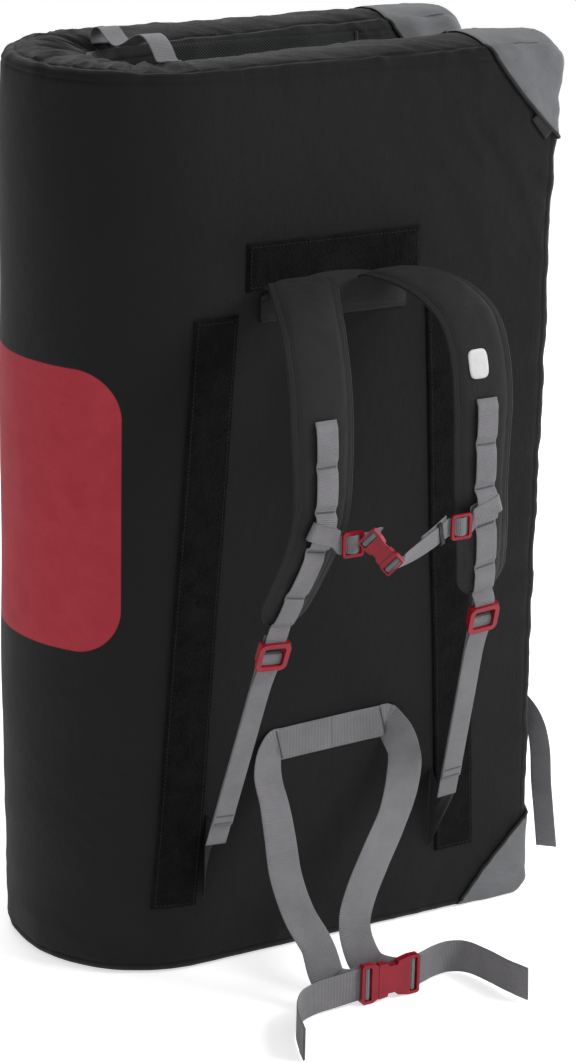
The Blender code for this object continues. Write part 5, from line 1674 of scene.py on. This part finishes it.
def make_belt():
    size = buckle_sizes(belt_width)
    origin = Vector((*belt_buckle, belt_floor_gap + size["half"]))
    local = frame_at(origin, -X, -Y)
    lap_n = size["bar_n"] - size["radius"] - webbing - lap_gap
    lap = placed(local, ((size["plug_bar"] + s, lap_n) for s in (0, 2 * stub_length)))
    band_x = np.linspace(belt_band[0][0], belt_band[-1][0], 17)
    band_z = np.interp(band_x, *zip(*belt_band))
    skin, ways = map(np.array, zip(*[skin_at(x, z) for x, z in zip(band_x, band_z)]))
    band = [Vector(point) for point in drape(skin, ways, belt_gap)]
    legs = [[Vector(point) for point, _ in leg] for leg in (belt_left_leg[::-1], belt_right_leg)]
    left_ways, right_ways = (
        [Vector((x, 0, z)) for _, (x, z) in leg] for leg in (belt_left_leg[::-1], belt_right_leg)
    )
    points = [*lap, *hung([left_leg_start], lap[-1], band[0]), *legs[0], *band[:9]]
    ways = [Z, Z, Vector((0.55, 0, 0.80)), *left_ways, *[belt_left_lean] * 9]
    blend = ("front_half", "waist_plug", Vector((0, 0, 0.130)), Vector((0, 0, 0.046)))
    webbing_piece("belt_left", ["belt_webbing"], None, points, ways, belt_width, blend)
    socket = placed(local, leg_view(belt_width, 0.3 * belt_width))
    points = [*band[8:], *legs[1], *hung([right_leg_end], band[-1], socket[0]), *socket]
    ways = [*[belt_right_lean] * 9, *right_ways, Vector((-0.5, 0, -0.85)), *[-Z] * len(socket)]
    tail = [socket[-1], *trailed(right_tail_shares, socket[-1], tail_length)]
    route = joined((points, ways), after_first(eased(tail, -Z, 20)))
    webbing_piece("belt_right", ["belt_webbing"], "front_half", *route, belt_width, hems=(0, 0.020))
    tacks = []
    for point, ahead in ((band[0], band[1] - band[0]), (band[-1], band[0] - band[1])):
        along = ahead.normalized()
        tacks.append((point + along * 0.006, along, belt_right_lean.normalized(), -Y))
    bartacks("belt_bartacks", tacks, belt_width * 0.9, webbing * 0.55)
    plug = placed(local, loop_view(belt_width, 1, stub_length, size["opening"] + webbing))
    tail = [plug[-1], *trailed(left_tail_shares, plug[-1], tail_length)]
    route = joined((plug, Z), after_first(eased(tail, Z, 18)))
    webbing_piece("belt_tail", ["belt_tail_left"], "waist_plug", *route, belt_width, hems=(0, 0.020))


def on_end(front, depth, z, out):
    x = float(rim_x(z)) + gusset_bulge * max(1 - (depth / half_thickness) ** 2, 0) + out
    return Vector((x, -depth if front else back_y + depth, z))


def make_closure(name, length, tail_shares, height):
    x = float(rim_x(height)) + gusset_bulge + closure_standoff
    local = frame_at(Vector((x, closure_mouth_y, height)), -Y, X)
    size = buckle_sizes(strap_width)
    plug, room = f"closure_plug_{name}", size["opening"] + webbing
    lap_n = size["bar_n"] - size["radius"] - webbing - lap_gap
    lap = placed(local, ((size["plug_bar"] + s, lap_n) for s in (0, stub_length, 2 * stub_length)))
    low = soft_seat + webbing / 2 + 0.0006
    sewn = [on_end(True, share * half_thickness, height, low) for share in (-0.35, 0.0, 0.3, 0.6)]
    blend = ("front_half", plug, Vector((0, 0.022, 0)), Vector((0, 0.055, 0)))
    route = eased([*lap, *sewn], Z, 16)
    webbing_piece(f"closure_strap_{name}", [f"closure_webbing_{name}"], None, *route, strap_width, blend)
    loop = placed(local, loop_view(strap_width, 1, stub_length, room))
    turned = ((2, -Z), (1, (-0.1, 0.35, -0.95)), (1, (-0.4, 0.75, -0.5)))
    ways = directions_of(*turned, (len(tail_shares) - 3, (-0.62, 0.78, 0)))
    tail = eased([loop[-1], *trailed(tail_shares, loop[-1], length)], ways, 22)
    route = joined((loop, -Z), after_first(tail))
    label = f"closure_tail_{name}"
    webbing_piece(f"{label}_webbing", [label], plug, *route, strap_width, hems=(0, 0.014))
    loop = placed(local, loop_view(strap_width, -1, room, room))
    rear, upper = (
        [on_end(False, share * half_thickness, height, out) for share in (0.2, -0.07, -0.35)]
        for out in (low, low + webbing + seat)
    )
    points = [*rear, *loop, *upper[::-1]]
    label = f"closure_loop_{name}"
    webbing_piece(f"{label}_webbing", [label], "back_half", points, [Z] * len(points), strap_width)


def make_handle():
    """The carrying loop over the fold, sewn down at both ends."""
    ends = []
    for y in (handle_y + 0.008, handle_y + handle_length - 0.008):
        hit = cover_tree.ray_cast(Vector((handle_x, y, panel_height + 0.1)), -Z, 0.2)[0]
        ends.append(hit.z + webbing)
    points = []
    for share, rise in handle_shape:
        height = mix(*ends, share) + handle_rise * rise
        points.append(Vector((handle_x, handle_y + handle_length * share, height)))
    webbing_piece("grab_handle_webbing", ["grab_handle"], "fold_1", *eased(points, X, 30), strap_width)


def make_vent():
    """Mesh panel at the top of the back half's landing face, with round lower corners."""
    low, high, radius = panel_height - vent_reach, panel_height - vent_top_gap, 0.030
    zs = [low, low + 0.001, low + 0.003, low + 0.006, *np.linspace(low + 0.012, high - 0.004, 24), high]
    columns = (0, 0.006, 0.02, *np.linspace(0.06, 0.94, 26), 0.98, 0.994, 1)
    points, normals, uv = [], [], []
    facing = np.array((0.0, -1.0, 0.0))
    for z in zs:
        inset = radius - math.sqrt(max(radius**2 - max(radius - (z - low), 0) ** 2, 0))
        start, end = vent_x[0] + inset, vent_x[1] - inset
        row = [start + (end - start) * share for share in columns]
        points.append([(x, back_y + float(landing_depth(x, z)), z) for x in row])
        normals.append([facing] * len(row))
        uv.append([(x, z) for x in row])
    points, normals, uv = (np.array(part, float) for part in (points, normals, uv))
    seated = drape(points, normals, 0.0001)
    sag = vector_noise(seated, lambda x, y, z: 0.0006 + 0.0006 * wave(x * 40, z * 40))
    seated += normals * sag[..., None]
    made = thin_solid("mesh_panel", seated, normals, uv, 0.0011, mesh_cloth)
    finish_piece(made, "back_half", ["mesh_vent"])
    line = [seated[-1, 0] - (0, 0, 0.002)] + [seated[i, 0] for i in range(len(zs) - 2, 0, -1)]
    line += [seated[0, j] for j in range(len(columns))]
    line += [seated[i, -1] for i in range(1, len(zs))]
    line = np.array(line) + facing * 0.0010
    bound = tube("mesh_panel_binding", line, 0.0026, binding_cloth, 8, 0.5, [facing] * len(line))
    finish_piece(bound, "back_half")


make_sternum()
make_belt()
for closure, closure_height in zip(closing_tails, closure_heights):
    make_closure(*closure, closure_height)
make_handle()
make_vent()


# Badge and side label


def make_badge():
    side, centre_v, half_w, half_h = 1, 0.467, 0.0115, 0.0145
    points, normals, uv = blank_grid(17, 17)
    for j, b in enumerate(np.linspace(-1, 1, 17)):
        for i, a in enumerate(np.linspace(-1, 1, 17)):
            norm = (abs(a) ** 4 + abs(b) ** 4) ** 0.25
            scale = max(abs(a), abs(b)) / norm if norm else 1
            v = centre_v + b * scale * half_h / pad_length
            middle, across, face, width, taper = pad_section(side, v)
            c = (a * scale * half_w - 0.007) / (width / 2)
            raised = pad_thickness_at(c, taper) / 2 + 0.0004
            points[j, i] = middle + across * c * width / 2 + face * raised
            normals[j, i] = face
            uv[j, i] = (a * half_w, b * half_h)
    made = thin_solid("shoulder_badge", points, normals, uv, 0.0012, badge_rubber, 0.5)
    finish_piece(made, "front_half")


def make_label():
    corner = np.array((0.2590, 0.9268))
    along = np.array((0.2859, 0.8952)) - corner
    length = np.linalg.norm(along)
    along = along / length
    across = np.array((along[1], -along[0]))
    points, normals, uv = blank_grid(12, 7)
    width = 0.012
    for i, s in enumerate(np.linspace(0, 1, 12)):
        for j, c in enumerate(np.linspace(0, 1, 7)):
            spot = corner + along * s * length * 0.72 + across * (c * width - 0.002)
            points[i, j], normals[i, j] = skin_at(*spot)
            uv[i, j] = (s * length, c * width)
    seated = drape(points, normals, 0.0020)
    made = thin_solid("side_label", seated, normals, uv, 0.0009, binding_cloth)
    finish_piece(made, "front_half")


make_badge()
make_label()


# Plastic pieces, with softened edges

for node_name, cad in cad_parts.items():
    hard = any(word in node_name for word in ("lock", "glide", "socket", "_plug"))
    if hard and not cad.hide_render:
        cad.data.materials.clear()
        cad.data.materials.append(red_plastic)
        soft = cad.modifiers.new("soft_edges", "BEVEL")
        soft.width = 0.00045
        soft.segments = 2
        soft.limit_method = "ANGLE"
        soft.angle_limit = math.radians(35)
        soft.harden_normals = True
        cad.data.shade_smooth()


# Floor, light and camera


def floor_material():
    made = bpy.data.materials.new("floor")
    made.use_nodes = True
    tree = made.node_tree
    shader = tree.nodes["Principled BSDF"]
    shader.inputs["Base Color"].default_value = (0.93, 0.93, 0.93, 1)
    shader.inputs["Roughness"].default_value = 0.9
    shader.inputs["Specular IOR Level"].default_value = 0.1
    path = node(tree, "ShaderNodeLightPath")
    glow = node(tree, "ShaderNodeEmission", {"Color": (1, 1, 1, 1)})
    seen = maths(tree, "MAXIMUM", path.outputs["Is Camera Ray"], path.outputs["Is Glossy Ray"])
    seen = maths(tree, "MAXIMUM", seen, path.outputs["Is Transmission Ray"])
    tree.links.new(maths(tree, "MULTIPLY", seen, 0.56), glow.inputs["Strength"])
    both = node(tree, "ShaderNodeAddShader", {0: shader.outputs[0], 1: glow.outputs[0]})
    tree.links.new(both.outputs[0], tree.nodes["Material Output"].inputs["Surface"])
    return made


def make_stage():
    reach = 6.0
    signs = ((-1, -1), (1, -1), (1, 1), (-1, 1))
    corners = [(x * reach, y * reach, -0.0002) for x, y in signs]
    floor = add_object("floor", corners, [(0, 1, 2, 3)], floor_material(), [(0, 0)] * 4, smooth=False)
    world = bpy.data.worlds.new("studio")
    bpy.context.scene.world = world
    world.use_nodes = True
    tree = world.node_tree
    tree.nodes.clear()
    path = node(tree, "ShaderNodeLightPath")
    seen = maths(tree, "MAXIMUM", path.outputs["Is Camera Ray"], path.outputs["Is Transmission Ray"])
    plain = node(tree, "ShaderNodeBackground", {"Color": (1, 1, 1, 1), "Strength": 0.45})
    white = node(tree, "ShaderNodeBackground", {"Color": (1, 1, 1, 1), "Strength": 1.0})
    both = node(tree, "ShaderNodeMixShader", {0: seen, 1: plain.outputs[0], 2: white.outputs[0]})
    out = node(tree, "ShaderNodeOutputWorld")
    tree.links.new(both.outputs[0], out.inputs["Surface"])
    for name, spot, size, power in (
        ("key", (2.3, -2.2, 2.9), 1.6, 95),
        ("fill", (-2.6, -2.6, 1.6), 2.2, 10),
        ("back_light", (0.6, 2.8, 2.4), 1.8, 34),
        ("side_light", (2.6, 0.6, 1.0), 1.4, 22),
    ):
        lamp = bpy.data.lights.new(name, "AREA")
        lamp.shape = "SQUARE"
        lamp.size = size
        lamp.energy = power
        made = bpy.data.objects.new(name, lamp)
        bpy.context.scene.collection.objects.link(made)
        made.location = spot
        aim = Vector((0.03, 0.05, 0.5)) - Vector(spot)
        made.rotation_euler = aim.to_track_quat("-Z", "Y").to_euler()


def make_camera():
    yaw, pitch, roll = math.radians(-30.4508), math.radians(18.1076), math.radians(1.2443)
    back = Vector((math.sin(yaw) * math.cos(pitch), -math.cos(yaw) * math.cos(pitch), math.sin(pitch)))
    right = Z.cross(back).normalized()
    up = back.cross(right)
    turned_right = right * math.cos(roll) + up * math.sin(roll)
    turned_up = up * math.cos(roll) - right * math.sin(roll)
    lens = bpy.data.cameras.new("camera")
    lens.lens = 105.817
    lens.sensor_width = 36
    lens.clip_end = 50
    made = bpy.data.objects.new("camera", lens)
    bpy.context.scene.collection.objects.link(made)
    pose = Matrix((turned_right, turned_up, back)).transposed().to_4x4()
    pose.translation = Vector((-1.66086, -2.80524, 1.53991))
    made.matrix_world = pose
    bpy.context.scene.camera = made


make_stage()
make_camera()
bpy.context.scene.view_settings.view_transform = "Standard"
